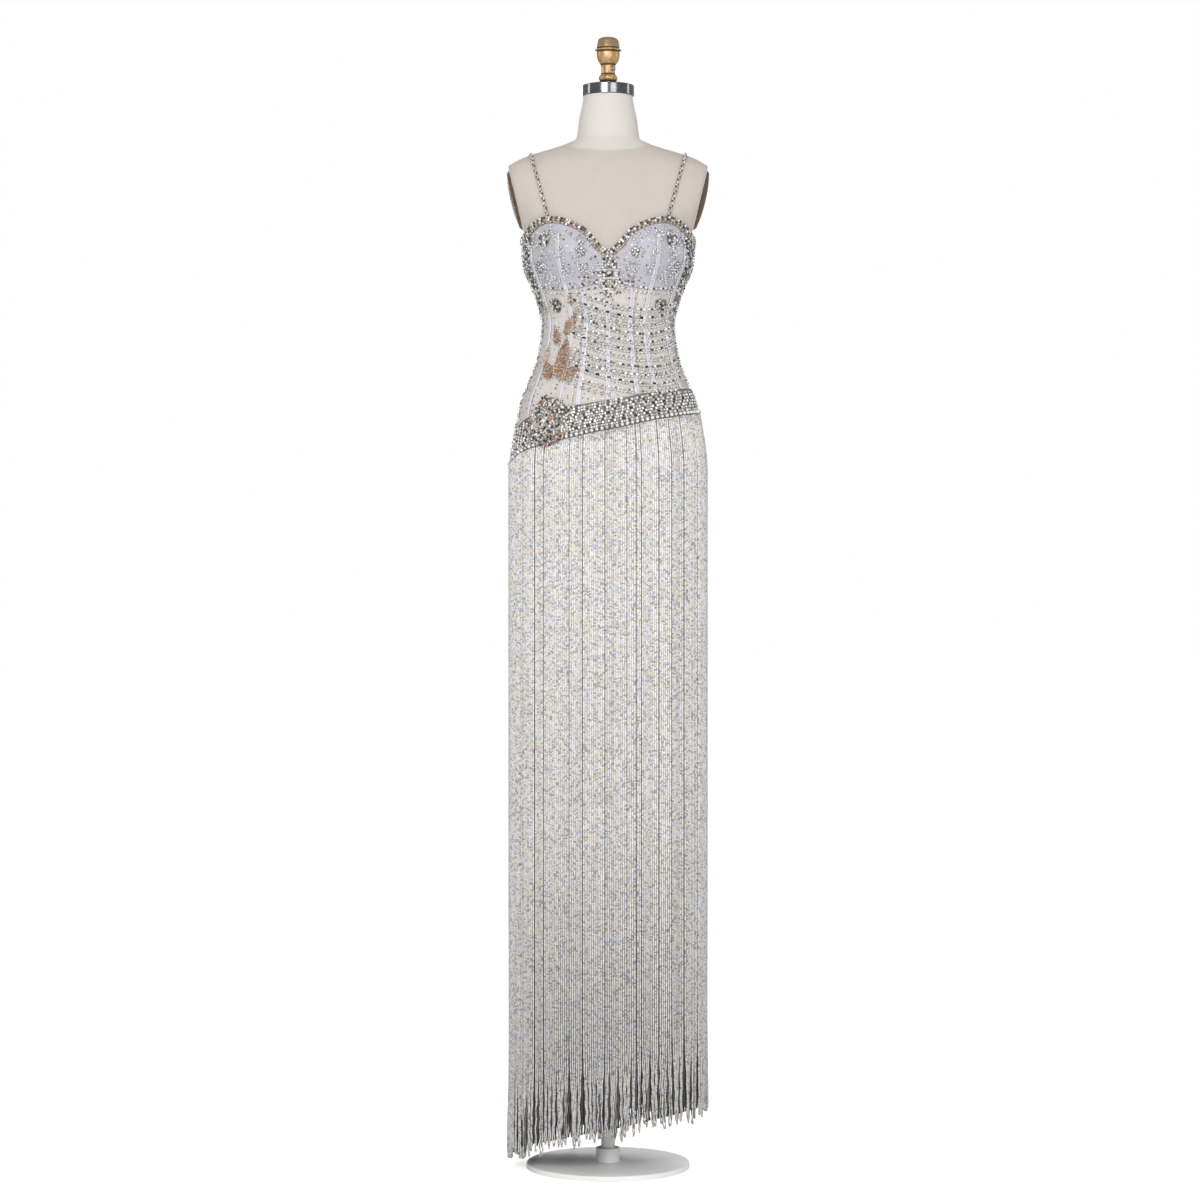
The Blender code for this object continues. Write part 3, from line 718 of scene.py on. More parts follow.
@dataclass(frozen=True)
class GlassBeadStrand(Finish):
    """Silver-lined glass beads on thread: each bead has its own tint, with a dark joint."""

    bead: float = 0.0028

    def pattern(self, tree: bpy.types.NodeTree, shader: bpy.types.Node) -> None:
        """Beads are counted down each strand, from the strand's own random start.

        They are drawn 2.8 mm long, where real ones have about 2 mm, so that they show.

        Args:
            tree: The material's node tree.
            shader: Its surface shader.
        """
        place = add_node(tree, "ShaderNodeTexCoord").outputs["Object"]
        height = add_node(tree, "ShaderNodeSeparateXYZ", {0: place}).outputs["Z"]
        strand = add_node(tree, "ShaderNodeAttribute", attribute_name="strand").outputs["Fac"]
        count = add_node(
            tree,
            "ShaderNodeMath",
            {0: height, 1: 1 / self.bead, 2: strand},
            operation="MULTIPLY_ADD",
        ).outputs[0]
        bead = add_node(tree, "ShaderNodeMath", {0: count}, operation="FLOOR").outputs[0]
        seed = add_node(tree, "ShaderNodeCombineXYZ", {0: strand, 1: bead}).outputs[0]
        chance = add_node(tree, "ShaderNodeTexWhiteNoise", {"Vector": seed})
        ramp = add_node(
            tree,
            "ShaderNodeValToRGB",
            {"Fac": chance.outputs["Value"]},
            stops=(
                (0.00, "#A9A6A3"),
                (0.12, "#DAD8D5"),
                (0.32, "#F1F0ED"),
                (0.56, "#FCFBFA"),
                (0.76, "#FFFFFF"),
                (0.84, "#F7EBC4"),
                (0.90, "#C3CCEA"),
                (0.96, "#EFCFBB"),
            ),
        )
        ramp.color_ramp.interpolation = "CONSTANT"
        within = add_node(tree, "ShaderNodeMath", {0: count}, operation="FRACT").outputs[0]
        round_bead = add_node(
            tree, "ShaderNodeMath", {0: within, 1: 0.5}, operation="SUBTRACT"
        ).outputs[0]
        edge = add_node(tree, "ShaderNodeMath", {0: round_bead}, operation="ABSOLUTE").outputs[0]
        joint = add_node(
            tree,
            "ShaderNodeMapRange",
            {"Value": edge, "From Min": 0.30, "From Max": 0.5, "To Min": 1.0, "To Max": 0.76},
        ).outputs["Result"]
        # The tone attribute is painted shade: darker towards each strand's foot, and near black on
        # the backing strands.
        tone = add_node(tree, "ShaderNodeAttribute", attribute_name="tone").outputs["Fac"]
        level = add_node(tree, "ShaderNodeMath", {0: joint, 1: tone}, operation="MULTIPLY")
        lit = add_node(
            tree,
            "ShaderNodeVectorMath",
            {0: ramp.outputs["Color"], "Scale": level.outputs[0]},
            operation="SCALE",
        )
        bump = add_node(
            tree, "ShaderNodeBump", {"Height": joint, "Strength": 0.6, "Distance": 0.0006}
        )
        look = {"Base Color": lit.outputs["Vector"], "Normal": bump.outputs["Normal"]}
        feed(tree, shader, look)


@dataclass(frozen=True)
class TurnedWood(Finish):
    """Turned wood under old gold paint or brown stain: painted shade in the grooves, and rubbed
    streaks along the grain.
    """

    colour: str = "#BE9868"
    dark: str = "#4E3620"
    rubbed: str = "#EACFA2"
    cap: str = ""
    cap_z: float = 2.055

    def pattern(self, tree: bpy.types.NodeTree, shader: bpy.types.Node) -> None:
        """Streaks along the grain, and painted shade in the piece's own grooves.

        Args:
            tree: The material's node tree.
            shader: Its surface shader.
        """
        place = add_node(tree, "ShaderNodeTexCoord").outputs["Object"]
        stretched = add_node(
            tree, "ShaderNodeMapping", {"Vector": place, "Scale": (1.0, 1.0, 0.25)}
        ).outputs["Vector"]
        grain = add_node(
            tree,
            "ShaderNodeTexNoise",
            {"Vector": stretched, "Scale": 160.0, "Detail": 6.0, "Roughness": 0.65},
        ).outputs["Fac"]
        ramp = add_node(
            tree,
            "ShaderNodeValToRGB",
            {"Fac": grain},
            stops=((0.25, self.dark), (0.48, self.colour), (0.80, self.rubbed)),
        )
        base = ramp.outputs["Color"]
        if self.cap:
            height = add_node(tree, "ShaderNodeSeparateXYZ", {0: place}).outputs["Z"]
            above = add_node(
                tree, "ShaderNodeMath", {0: height, 1: self.cap_z}, operation="GREATER_THAN"
            ).outputs[0]
            covered = add_node(
                tree,
                "ShaderNodeMix",
                {0: above, 6: base, 7: linear(self.cap)},
                data_type="RGBA",
            )
            base = covered.outputs[2]
        # Painted shade: the grooves are darkened where shade would fall in them.
        groove = add_node(tree, "ShaderNodeAttribute", attribute_name="groove")
        groove_shaded = add_node(
            tree,
            "ShaderNodeMix",
            {0: groove.outputs["Fac"], 6: base, 7: linear(self.dark)},
            data_type="RGBA",
        )
        bump = add_node(
            tree, "ShaderNodeBump", {"Height": grain, "Strength": 0.35, "Distance": 0.0004}
        )
        feed(tree, shader, {"Base Color": groove_shaded.outputs[2], "Normal": bump.outputs["Normal"]})


@dataclass(frozen=True)
class BrushedSteel(Finish):
    """Stainless steel brushed round its axis: fine level lines that spread its highlights."""

    colour: str = "#86878B"
    dark: str = "#5E5F63"

    def pattern(self, tree: bpy.types.NodeTree, shader: bpy.types.Node) -> None:
        """Level scratches about 0.3 mm apart.

        Args:
            tree: The material's node tree.
            shader: Its surface shader.
        """
        place = add_node(tree, "ShaderNodeTexCoord").outputs["Object"]
        stretched = add_node(
            tree, "ShaderNodeMapping", {"Vector": place, "Scale": (12.0, 12.0, 900.0)}
        ).outputs["Vector"]
        scratch = add_node(
            tree, "ShaderNodeTexNoise", {"Vector": stretched, "Scale": 3.0, "Detail": 3.0}
        ).outputs["Fac"]
        ramp = add_node(
            tree,
            "ShaderNodeValToRGB",
            {"Fac": scratch},
            stops=((0.3, self.dark), (0.7, self.colour)),
        )
        bump = add_node(
            tree, "ShaderNodeBump", {"Height": scratch, "Strength": 0.15, "Distance": 0.0002}
        )
        look = {"Base Color": ramp.outputs["Color"], "Normal": bump.outputs["Normal"]}
        feed(tree, shader, look)


@dataclass(frozen=True)
class PowderCoat(Finish):
    """Off-white powder coat on steel: a fine orange-peel skin, faintly soiled."""

    colour: str = "#F8F8F7"
    dark: str = "#F0EFED"

    def pattern(self, tree: bpy.types.NodeTree, shader: bpy.types.Node) -> None:
        """Orange peel about 1 mm across, and soft patches of wear.

        Args:
            tree: The material's node tree.
            shader: Its surface shader.
        """
        place = add_node(tree, "ShaderNodeTexCoord").outputs["Object"]
        peel = add_node(
            tree, "ShaderNodeTexNoise", {"Vector": place, "Scale": 900.0, "Detail": 2.0}
        ).outputs["Fac"]
        patch = add_node(
            tree, "ShaderNodeTexNoise", {"Vector": place, "Scale": 9.0, "Detail": 5.0}
        ).outputs["Fac"]
        ramp = add_node(
            tree,
            "ShaderNodeValToRGB",
            {"Fac": patch},
            stops=((0.3, self.dark), (0.6, self.colour)),
        )
        bump = add_node(
            tree, "ShaderNodeBump", {"Height": peel, "Strength": 0.2, "Distance": 0.0002}
        )
        look = {"Base Color": ramp.outputs["Color"], "Normal": bump.outputs["Normal"]}
        feed(tree, shader, look)


LINEN = WovenCloth(
    "linen_cover",
    roughness=0.85,
    sheen=0.15,
    specular=0.25,
    colour="#CAC1BA",
    shade="#C0B7AF",
    neck_colour="#D6D1CB",
)
NUDE_NET = StretchNet("nude_stretch_net", roughness=0.6, sheen=0.1)
CUP_CLOTH = WovenCloth(
    "lavender_cup_net",
    roughness=0.6,
    sheen=0.2,
    colour="#C0BEC8",
    shade="#ABA9B4",
    thread=0.0020,
    relief=0.00012,
)
RIBBON = WovenCloth(
    "satin_ribbon",
    roughness=0.35,
    colour="#C8C6CD",
    shade="#BFBDC4",
    thread=0.0010,
    ribbon_width=0.008,
)
PLACKET_CLOTH = WovenCloth("placket_net", roughness=0.6, colour="#DDD2C9", shade="#CBBFB6")
# The slip satin's own pale grey is darkened with painted shade, for the shade that falls between the
# strands over it.
SLIP = WovenCloth("slip_satin", roughness=0.4, colour="#8F8D90", shade="#7C7A7E")
# The tape's grey-brown is darkened with painted shade, for the dark gaps between the stones sewn on
# it.
TAPE = WovenCloth("beading_tape", roughness=0.7, colour="#837C76", shade="#655F5A")
CRYSTAL = FoiledCrystal("foiled_crystal", roughness=0.16, metallic=0.05, coat=0.7)
BEADS = GlassBeadStrand("glass_bead_strand", roughness=0.30, coat=0.2)
GILT = TurnedWood("gilt_turned_wood", roughness=0.38, metallic=0.45, cap="#9C8062")
STAINED = TurnedWood(
    "stained_wood", roughness=0.5, colour="#5C432B", dark="#33241A", rubbed="#7A5E42"
)
STEEL = BrushedSteel("brushed_steel", roughness=0.17, metallic=1.0)
PALE_STEEL = BrushedSteel(
    "pale_steel", roughness=0.30, metallic=1.0, colour="#D2D3D6", dark="#A6A7AA"
)
PAINT = PowderCoat("stand_powder_coat", roughness=0.45)


# Making pieces


def finished(name: str, data: bpy.types.Mesh, finish: Finish, slot: str) -> bpy.types.Object:
    """Makes a piece of a mesh, in its finish, riding on the part's one body.

    Args:
        name: The piece's name.
        data: Its mesh.
        finish: Its finish.
        slot: The record's material slot; not used.

    Returns:
        The piece.
    """
    data.materials.clear()
    data.materials.append(finish.make())
    obj = bpy.data.objects.new(name, data)
    bpy.context.scene.collection.objects.link(obj)
    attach(obj, "root")
    LOG.info("%s: %d faces", name, len(data.polygons))
    return obj


def from_bmesh(
    name: str, mesh: bmesh.types.BMesh, finish: Finish, slot: str, sharp: float = 40
) -> bpy.types.Object:
    """Makes a smooth-shaded piece of a bmesh, sharp where its faces meet at more than sharp.

    Args:
        name: The piece's name.
        mesh: The bmesh, which is freed.
        finish: Its finish.
        slot: The record's material slot.
        sharp: Degrees between faces from which an edge stays sharp.

    Returns:
        The piece.
    """
    data = bpy.data.meshes.new(name)
    mesh.to_mesh(data)
    mesh.free()
    data.shade_smooth()
    data.set_sharp_from_angle(angle=math.radians(sharp))
    return finished(name, data, finish, slot)


def charted(mesh: bmesh.types.BMesh, at: Callable[[Vector], tuple[float, float]]) -> None:
    """Gives a bmesh the UV map in metres that cloth finishes are drawn on.

    Args:
        mesh: The bmesh.
        at: The map's place for each corner's point.
    """
    chart = mesh.loops.layers.uv.new("cloth")
    for face in mesh.faces:
        for loop in face.loops:
            loop[chart].uv = at(loop.vert.co)


def arc(place: Surface, along_u: bool, fixed: float) -> float:
    """The length of a surface's line at one fixed share of the way across or up.

    Args:
        place: The surface.
        along_u: Whether the line runs across, and not up.
        fixed: The other share, which stays the same.

    Returns:
        The length in metres.
    """
    steps = 32
    line = [
        place(k / steps, fixed) if along_u else place(fixed, k / steps) for k in range(steps + 1)
    ]
    return sum((after - before).length for before, after in zip(line, line[1:]))


def cut_size(place: Surface) -> tuple[float, float]:
    """The greatest width and length of a cloth piece, along the cloth."""
    shares = (0.0, 0.25, 0.5, 0.75, 1.0)
    return max(arc(place, True, v) for v in shares), max(arc(place, False, u) for u in shares)


@dataclass
class Cloth:
    """A piece of cloth laid on a surface, with a UV map in metres and a real thickness."""

    name: str
    place: Surface
    finish: Finish
    slot: str
    pitch: float = 0.004
    thick: float = 0.0010

    def build(self) -> bpy.types.Object:
        """Maps a grid onto the surface, and thickens it inwards.

        Returns:
            The piece.
        """
        width, length = self.size = cut_size(self.place)
        mesh = bmesh.new()
        bmesh.ops.create_grid(
            mesh,
            x_segments=max(2, math.ceil(width / self.pitch)),
            y_segments=max(2, math.ceil(length / self.pitch)),
            size=0.5,
        )
        charted(mesh, lambda co: ((co.x + 0.5) * width, (co.y + 0.5) * length))
        for vert in mesh.verts:
            vert.co = self.place(vert.co.x + 0.5, vert.co.y + 0.5)
        self.area = sum(face.calc_area() for face in mesh.faces)
        obj = from_bmesh(self.name, mesh, self.finish, self.slot, 60)
        wall = obj.modifiers.new("thickness", "SOLIDIFY")
        wall.thickness = self.thick
        wall.offset = -1
        return obj

    def declare(
        self,
        obj: bpy.types.Object,
        with_pieces: Sequence[bpy.types.Object] = (),
    ) -> None:
        """Works out the sheet's area, capped just under the size that it measures along the cloth,
        and lists what goes with it; neither is kept.

        Args:
            obj: The piece; not used.
            with_pieces: What is sewn to it and goes with it.
        """
        width, length = self.size
        round(min(self.area, 0.998 * width * length), 5)
        list(with_pieces)


def turned(
    name: str,
    profile: Sequence[Place],
    finish: Finish,
    slot: str,
    steps: int = 64,
    grooves: Sequence[float] = (),
) -> bpy.types.Object:
    """A turned piece on the Z axis.

    Args:
        name: The piece's name.
        profile: Radius and height, from the axis down the outer side to the axis.
        finish: Its finish.
        slot: The record's material slot.
        steps: How many faces go round it.
        grooves: Heights of the grooves that are darkened with painted shade.

    Returns:
        The piece.
    """
    mesh = bmesh.new()
    verts = [mesh.verts.new((radius, 0, z)) for radius, z in profile]
    edges = [mesh.edges.new(pair) for pair in zip(verts, verts[1:])]
    bmesh.ops.spin(
        mesh,
        geom=[*verts, *edges],
        cent=(0, 0, 0),
        axis=(0, 0, 1),
        angle=math.tau,
        steps=steps,
        use_merge=True,
    )
    bmesh.ops.remove_doubles(mesh, verts=mesh.verts, dist=1e-6)
    bmesh.ops.recalc_face_normals(mesh, faces=mesh.faces)
    # How near each point is to a groove, for the painted shade in the grooves.
    mark = mesh.verts.layers.float.new("groove")
    for vert in mesh.verts:
        near = min((abs(vert.co.z - z) for z in grooves), default=1.0)
        vert[mark] = 1 - eased(0.0004, 0.0022, near)
    return from_bmesh(name, mesh, finish, slot, 32)


def rounded(profile: Sequence[Place], parts: int) -> list[Place]:
    """The same profile with a smooth curve through its points.

    Args:
        profile: The points.
        parts: Into how many parts each span is cut.

    Returns:
        The points of the curve.
    """
    found = []
    padded = [profile[0], *profile, profile[-1]]
    for a, b, c, d in zip(padded, padded[1:], padded[2:], padded[3:]):
        for k in range(parts):
            t = k / parts
            found.append(
                tuple(
                    0.5
                    * (
                        2 * q
                        + (r - p) * t
                        + (2 * p - 5 * q + 4 * r - s) * t**2
                        + (3 * q - p - 3 * r + s) * t**3
                    )
                    for p, q, r, s in zip(a, b, c, d)
                )
            )
    return [*found, profile[-1]]


# Stones and beads


class Cut(Enum):
    """The shapes that stones and beads are cut or moulded to."""

    CHATON = 0
    BEAD = 1
    PEARL = 2
    NAVETTE = 3


class Stone(NamedTuple):
    """One stone: where it sits, the way it faces, its size, its colour, and the painted light on it.
    """

    point: Vector
    aim: Vector
    radius: float
    tint: Tint
    cut: Cut
    turn: float
    painted_light: float


class Bead(NamedTuple):
    """One bead of a unit that repeats along a row."""

    radius: float
    tint: Tint
    cut: Cut = Cut.CHATON


class Unit(Enum):
    """The units that repeat along the rows, from fine beads to spaced dark stones."""

    WARM = (
        Bead(0.0016, Tint.COPPER),
        Bead(0.0016, Tint.CHAMPAGNE),
        Bead(0.0016, Tint.SMOKE),
        Bead(0.0016, Tint.CHAMPAGNE),
    )
    SMALL = (
        Bead(0.0015, Tint.CLEAR),
        Bead(0.0014, Tint.SILVER),
        Bead(0.0016, Tint.CLEAR),
        Bead(0.0014, Tint.SMOKE),
        Bead(0.0016, Tint.CLEAR),
        Bead(0.0014, Tint.CHAMPAGNE),
    )
    ROUND = (
        Bead(0.0024, Tint.CLEAR),
        Bead(0.0019, Tint.SILVER),
        Bead(0.0024, Tint.CLEAR),
        Bead(0.0018, Tint.JET),
    )
    DARK = (
        Bead(0.0026, Tint.JET, Cut.NAVETTE),
        Bead(0.0021, Tint.CLEAR),
        Bead(0.0018, Tint.SILVER),
        Bead(0.0021, Tint.CLEAR),
    )
    MIXED = (
        Bead(0.0025, Tint.CLEAR),
        Bead(0.0020, Tint.JET),
        Bead(0.0024, Tint.SILVER),
        Bead(0.0020, Tint.SMOKE),
        Bead(0.0025, Tint.CLEAR),
        Bead(0.0020, Tint.JET),
        Bead(0.0022, Tint.SMOKE),
        Bead(0.0021, Tint.CHAMPAGNE),
    )
    BRIGHT = (
        Bead(0.0034, Tint.CLEAR, Cut.PEARL),
        Bead(0.0016, Tint.JET),
    )
    PALE = (
        Bead(0.0018, Tint.CLEAR, Cut.BEAD),
        Bead(0.0014, Tint.SILVER, Cut.BEAD),
    )


class StoneTray:
    """The four cuts as small meshes, and the node tree that sets them on points."""

    def __init__(self) -> None:
        """Makes the cuts in a collection that the scene doesn't show."""
        self.cuts = bpy.data.collections.new("stone_cuts")
        for cut in Cut:
            mesh = bmesh.new()
            self.shape(mesh, cut)
            data = bpy.data.meshes.new(f"cut_{cut.value}")
            mesh.to_mesh(data)
            mesh.free()
            data.materials.append(CRYSTAL.make())
            self.cuts.objects.link(bpy.data.objects.new(f"cut_{cut.value}", data))
        self.tree = self.nodes()

    def shape(self, mesh: bmesh.types.BMesh, cut: Cut) -> None:
        """Models one cut, 1 in radius, with its foot at z = 0.

        Args:
            mesh: The bmesh that it goes into.
            cut: The cut.
        """
        if cut is Cut.BEAD:
            bmesh.ops.create_icosphere(mesh, subdivisions=1, radius=1.0)
        elif cut is Cut.PEARL:
            bmesh.ops.create_uvsphere(mesh, u_segments=8, v_segments=5, radius=1.0)
        else:
            bmesh.ops.create_cone(
                mesh, cap_ends=True, segments=7, radius1=1.0, radius2=0.66, depth=0.50
            )
            bmesh.ops.translate(mesh, verts=mesh.verts, vec=(0, 0, 0.25))
        if cut is Cut.NAVETTE:
            bmesh.ops.scale(mesh, verts=mesh.verts, vec=(1.55, 0.72, 1.0))
        for face in mesh.faces:
            face.smooth = cut is Cut.PEARL

    def nodes(self) -> bpy.types.NodeTree:
        """Sets each point's cut at its size, aim and turn, as real mesh.

        Returns:
            The node tree.
        """
        tree = bpy.data.node_groups.new("set_stones", "GeometryNodeTree")
        for way in ("INPUT", "OUTPUT"):
            tree.interface.new_socket("Geometry", in_out=way, socket_type="NodeSocketGeometry")
        points = add_node(tree, "NodeGroupInput").outputs[0]
        cuts = add_node(
            tree,
            "GeometryNodeCollectionInfo",
            {"Collection": self.cuts, "Separate Children": True, "Reset Children": True},
        ).outputs[0]
        named = {
            name: add_node(
                tree, "GeometryNodeInputNamedAttribute", {"Name": name}, data_type=kind
            ).outputs["Attribute"]
            for name, kind in (
                ("aim", "FLOAT_VECTOR"),
                ("radius", "FLOAT"),
                ("turn", "FLOAT"),
                ("cut", "INT"),
            )
        }
        aimed = add_node(
            tree, "FunctionNodeAlignRotationToVector", {"Vector": named["aim"]}, axis="Z"
        ).outputs[0]
        spun = add_node(
            tree, "FunctionNodeAxisAngleToRotation", {"Axis": (0, 0, 1), "Angle": named["turn"]}
        ).outputs[0]
        both = add_node(
            tree,
            "FunctionNodeRotateRotation",
            {"Rotation": aimed, "Rotate By": spun},
            rotation_space="LOCAL",
        ).outputs[0]
        placed = add_node(
            tree,
            "GeometryNodeInstanceOnPoints",
            {
                "Points": points,
                "Instance": cuts,
                "Pick Instance": True,
                "Instance Index": named["cut"],
                "Rotation": both,
                "Scale": named["radius"],
            },
        ).outputs[0]
        real = add_node(tree, "GeometryNodeRealizeInstances", {"Geometry": placed}).outputs[0]
        add_node(tree, "NodeGroupOutput", {0: real})
        return tree


@dataclass
class Beadwork:
    """Stones sewn to one piece of the gown, as a single mesh."""

    name: str
    tray: StoneTray
    seed: int = 1
    stones: list[Stone] = field(default_factory=list)

    def __post_init__(self) -> None:
        """Starts the piece's own run of chance."""
        self.chance = random.Random(self.seed)

    def sew(
        self,
        point: Vector,
        aim: Vector,
        radius: float,
        tint: Tint,
        cut: Cut = Cut.CHATON,
        turn: float | None = None,
    ) -> None:
        """Sews one stone, tilted a little as hand-set stones are.

        Args:
            point: Where its foot sits.
            aim: The way that it faces.
            radius: Its radius.
            tint: Its colour.
            cut: Its cut.
            turn: Its turn about its aim, or by chance.
        """
        tilt = 0.16
        shake = Vector([self.chance.uniform(-tilt, tilt) for _ in range(3)])
        spun = self.chance.uniform(0, math.tau) if turn is None else turn
        # How much painted light the stone gets: some stones are dimmed at random, as if they caught
        # less light.
        painted_light = self.chance.choice((0.6, 0.85, 1.0, 1.0, 1.0, 1.0))
        self.stones.append(
            Stone(point, (aim + shake).normalized(), radius, tint, cut, spun, painted_light)
        )

    def sew_at(
        self,
        place: Place,
        out: float,
        radius: float,
        tint: Tint,
        cut: Cut = Cut.CHATON,
        turn: float | None = None,
    ) -> None:
        """Sews one stone at a place on the body, standing out by out."""
        lift = 0.55 * radius if cut in (Cut.BEAD, Cut.PEARL) else 0.0
        aim = FIGURE.outward(*place)
        self.sew(FIGURE.surface(*place) + aim * (out + lift), aim, radius, tint, cut, turn)

    def row(
        self, path: Sequence[Place], pitch: float, out: float, unit: Unit, scale: float = 1.0
    ) -> None:
        """Sews a row along a line, in a unit that repeats. Long stones lie along the row.

        Args:
            path: Close points of the row's line.
            pitch: About how far apart the stones are.
            out: How far their feet stand off the form.
            unit: The beads that repeat.
            scale: The stones' size, as a share of the unit's.
        """
        places = along(path, pitch)
        for k, place in enumerate(places):
            bead = unit.value[k % len(unit.value)]
            size = scale * bead.radius * self.chance.uniform(0.92, 1.08)
            turn = None
            if bead.cut is Cut.NAVETTE:
                before, after = places[max(k - 1, 0)], places[min(k + 1, len(places) - 1)]
                ahead = FIGURE.surface(*after) - FIGURE.surface(*before)
                turned_up = Vector((0, 0, 1)).rotation_difference(FIGURE.outward(*place))
                across, up = turned_up @ Vector((1, 0, 0)), turned_up @ Vector((0, 1, 0))
                turn = math.atan2(ahead.dot(up), ahead.dot(across))
            self.sew_at(place, out, size, bead.tint, bead.cut, turn)

    def build(self, slot: str = "rhinestone") -> bpy.types.Object:
        """Turns the stones into one piece.

        Args:
            slot: The record's material slot.

        Returns:
            The piece.
        """
        data = bpy.data.meshes.new(self.name)
        count = len(self.stones)
        data.vertices.add(count)
        flat = [value for stone in self.stones for value in stone.point]
        data.vertices.foreach_set("co", flat)
        aims = data.attributes.new("aim", "FLOAT_VECTOR", "POINT")
        aims.data.foreach_set("vector", [value for stone in self.stones for value in stone.aim])
        for name, kind, values in (
            ("radius", "FLOAT", [stone.radius for stone in self.stones]),
            ("turn", "FLOAT", [stone.turn for stone in self.stones]),
            ("tint", "FLOAT", [stone.tint.place for stone in self.stones]),
            ("painted_light", "FLOAT", [stone.painted_light for stone in self.stones]),
            ("cut", "INT", [stone.cut.value for stone in self.stones]),
        ):
            data.attributes.new(name, kind, "POINT").data.foreach_set("value", values)
        seeds = bpy.data.objects.new(f"{self.name}_seeds", data)
        bpy.context.scene.collection.objects.link(seeds)
        seeds.modifiers.new("stones", "NODES").node_group = self.tray.tree
        graph = bpy.context.evaluated_depsgraph_get()
        real = bpy.data.meshes.new_from_object(seeds.evaluated_get(graph), depsgraph=graph)
        bpy.data.objects.remove(seeds)
        for name in ("aim", "radius", "turn", "cut"):
            if name in real.attributes:
                real.attributes.remove(real.attributes[name])
        real.name = self.name
        return finished(self.name, real, CRYSTAL, slot)


# The dress form


@dataclass
class DressForm:
    """Linen-covered torso, arm plates, neck cap, finial and stand."""

    bottom_z: float = 1.110
    girth: float = 0.94
    columns: int = 120
    rows: int = 240
    neck_seam_z: float = 1.884
    neck_seam_dip: float = 0.026
    neck_inset: float = 0.0009
    plate_half_height: float = 0.056
    plate_half_depth: float = 0.046
    plate_dome: float = 0.010
    plate_z: float = 1.776
    cap_radius: float = 0.048
    cap_top_z: float = 1.986
    stem_radius: float = 0.011
    stem_top_z: float = 1.9925
    gap: float = 0.0003

    def build(self) -> None:
        """Builds the whole form."""
        self.torso()
        self.arm_plates()
        self.neck_fittings()
        self.stand()

    def torso(self) -> None:
        """The padded torso under its linen cover, with the neck's paler cover above a seam."""
        height = FIGURE.neck_top_z - self.bottom_z
        mesh = bmesh.new()
        bmesh.ops.create_grid(mesh, x_segments=self.columns, y_segments=self.rows, size=0.5)
        charted(mesh, lambda co: ((co.x + 0.5) * self.girth, (co.y + 0.5) * height))
        neck = mesh.verts.layers.float.new("neck")
        for vert in mesh.verts:
            angle, z = (vert.co.x + 0.5) * math.tau, self.bottom_z + (vert.co.y + 0.5) * height
            seam_z = self.neck_seam_z - self.neck_seam_dip * max(math.cos(angle), 0) ** 2
            vert[neck] = eased(seam_z - 0.002, seam_z + 0.002, z)
            vert.co = FIGURE.on_body(angle, z, -self.neck_inset * vert[neck])
        bmesh.ops.remove_doubles(mesh, verts=mesh.verts, dist=1e-6)
        bmesh.ops.holes_fill(mesh, edges=mesh.edges, sides=0)
        bmesh.ops.recalc_face_normals(mesh, faces=mesh.faces)
        obj = from_bmesh("linen_torso", mesh, LINEN, "linen", 60)
        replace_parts(obj, "form_body")

    def arm_plates(self) -> None:
        """A domed oval plate with a rolled rim over each flat armhole."""
        middle_x = FIGURE.armhole_x(self.plate_z) + 2 * self.gap
        (top_x, top_z), (foot_x, foot_z) = FIGURE.armhole_top, FIGURE.armhole_foot
        lean = math.atan2(top_x - foot_x, top_z - foot_z)
        for side, name in ((-1, "right"), (1, "left")):
            mesh = bmesh.new()
            bmesh.ops.create_uvsphere(mesh, u_segments=56, v_segments=28, radius=1)
            bmesh.ops.rotate(mesh, verts=mesh.verts, matrix=Matrix.Rotation(math.pi / 2, 3, "Y"))
            bmesh.ops.bisect_plane(
                mesh,
                geom=[*mesh.verts, *mesh.edges, *mesh.faces],
                plane_co=(0, 0, 0),
                plane_no=(side, 0, 0),
                clear_inner=True,
            )
            bmesh.ops.holes_fill(mesh, edges=mesh.edges, sides=0)
            size = (self.plate_dome, self.plate_half_depth, self.plate_half_height)
            for vert in mesh.verts:
                share = math.hypot(vert.co.y, vert.co.z)
                rim = 1 + 0.25 * math.exp(-(((share - 0.90) / 0.04) ** 2))
                vert.co.x *= rim
            bmesh.ops.scale(mesh, verts=mesh.verts, vec=size)
            place = Matrix.Translation((side * middle_x, 0.003, self.plate_z))
            turn = Matrix.Rotation(side * lean, 4, "Y")
            bmesh.ops.transform(mesh, verts=mesh.verts, matrix=place @ turn)
            bmesh.ops.recalc_face_normals(mesh, faces=mesh.faces)
            plate = from_bmesh(f"arm_plate_{name}", mesh, STAINED, "armplate", 50)
            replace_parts(plate, f"form_armplate_{name}")

    def neck_fittings(self) -> None:
        """The brushed cap, the short stem, and the gilt finial with its clamping screw."""
        edge, foot_z = 0.0012, FIGURE.neck_top_z + self.gap
        top_z, radius = self.cap_top_z, self.cap_radius
        cap = turned(
            "neck_cap",
            [
                (0, top_z - 0.0006),
                (radius - 4 * edge, top_z - 0.0006),
                (radius - 3 * edge, top_z),
                (radius - edge, top_z),
                (radius - edge / 3, top_z - edge / 3),
                (radius, top_z - edge),
                (radius, top_z - 1.5 * edge),
                (radius, foot_z + 1.5 * edge),
                (radius, foot_z + edge),
                (radius - edge / 2, foot_z + edge / 4),
                (radius - edge, foot_z),
                (0, foot_z),
            ],
            STEEL,
            "steel",
            96,
        )
        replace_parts(cap, "form_neck_cap")
        low, high = self.cap_top_z + self.gap, self.stem_top_z
        stem = turned(
            "neck_stem",
            [(0, high), (self.stem_radius, high), (self.stem_radius, low), (0, low)],
            PALE_STEEL,
            "steel",
            48,
        )
        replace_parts(stem, "form_stem")
        self.finial()

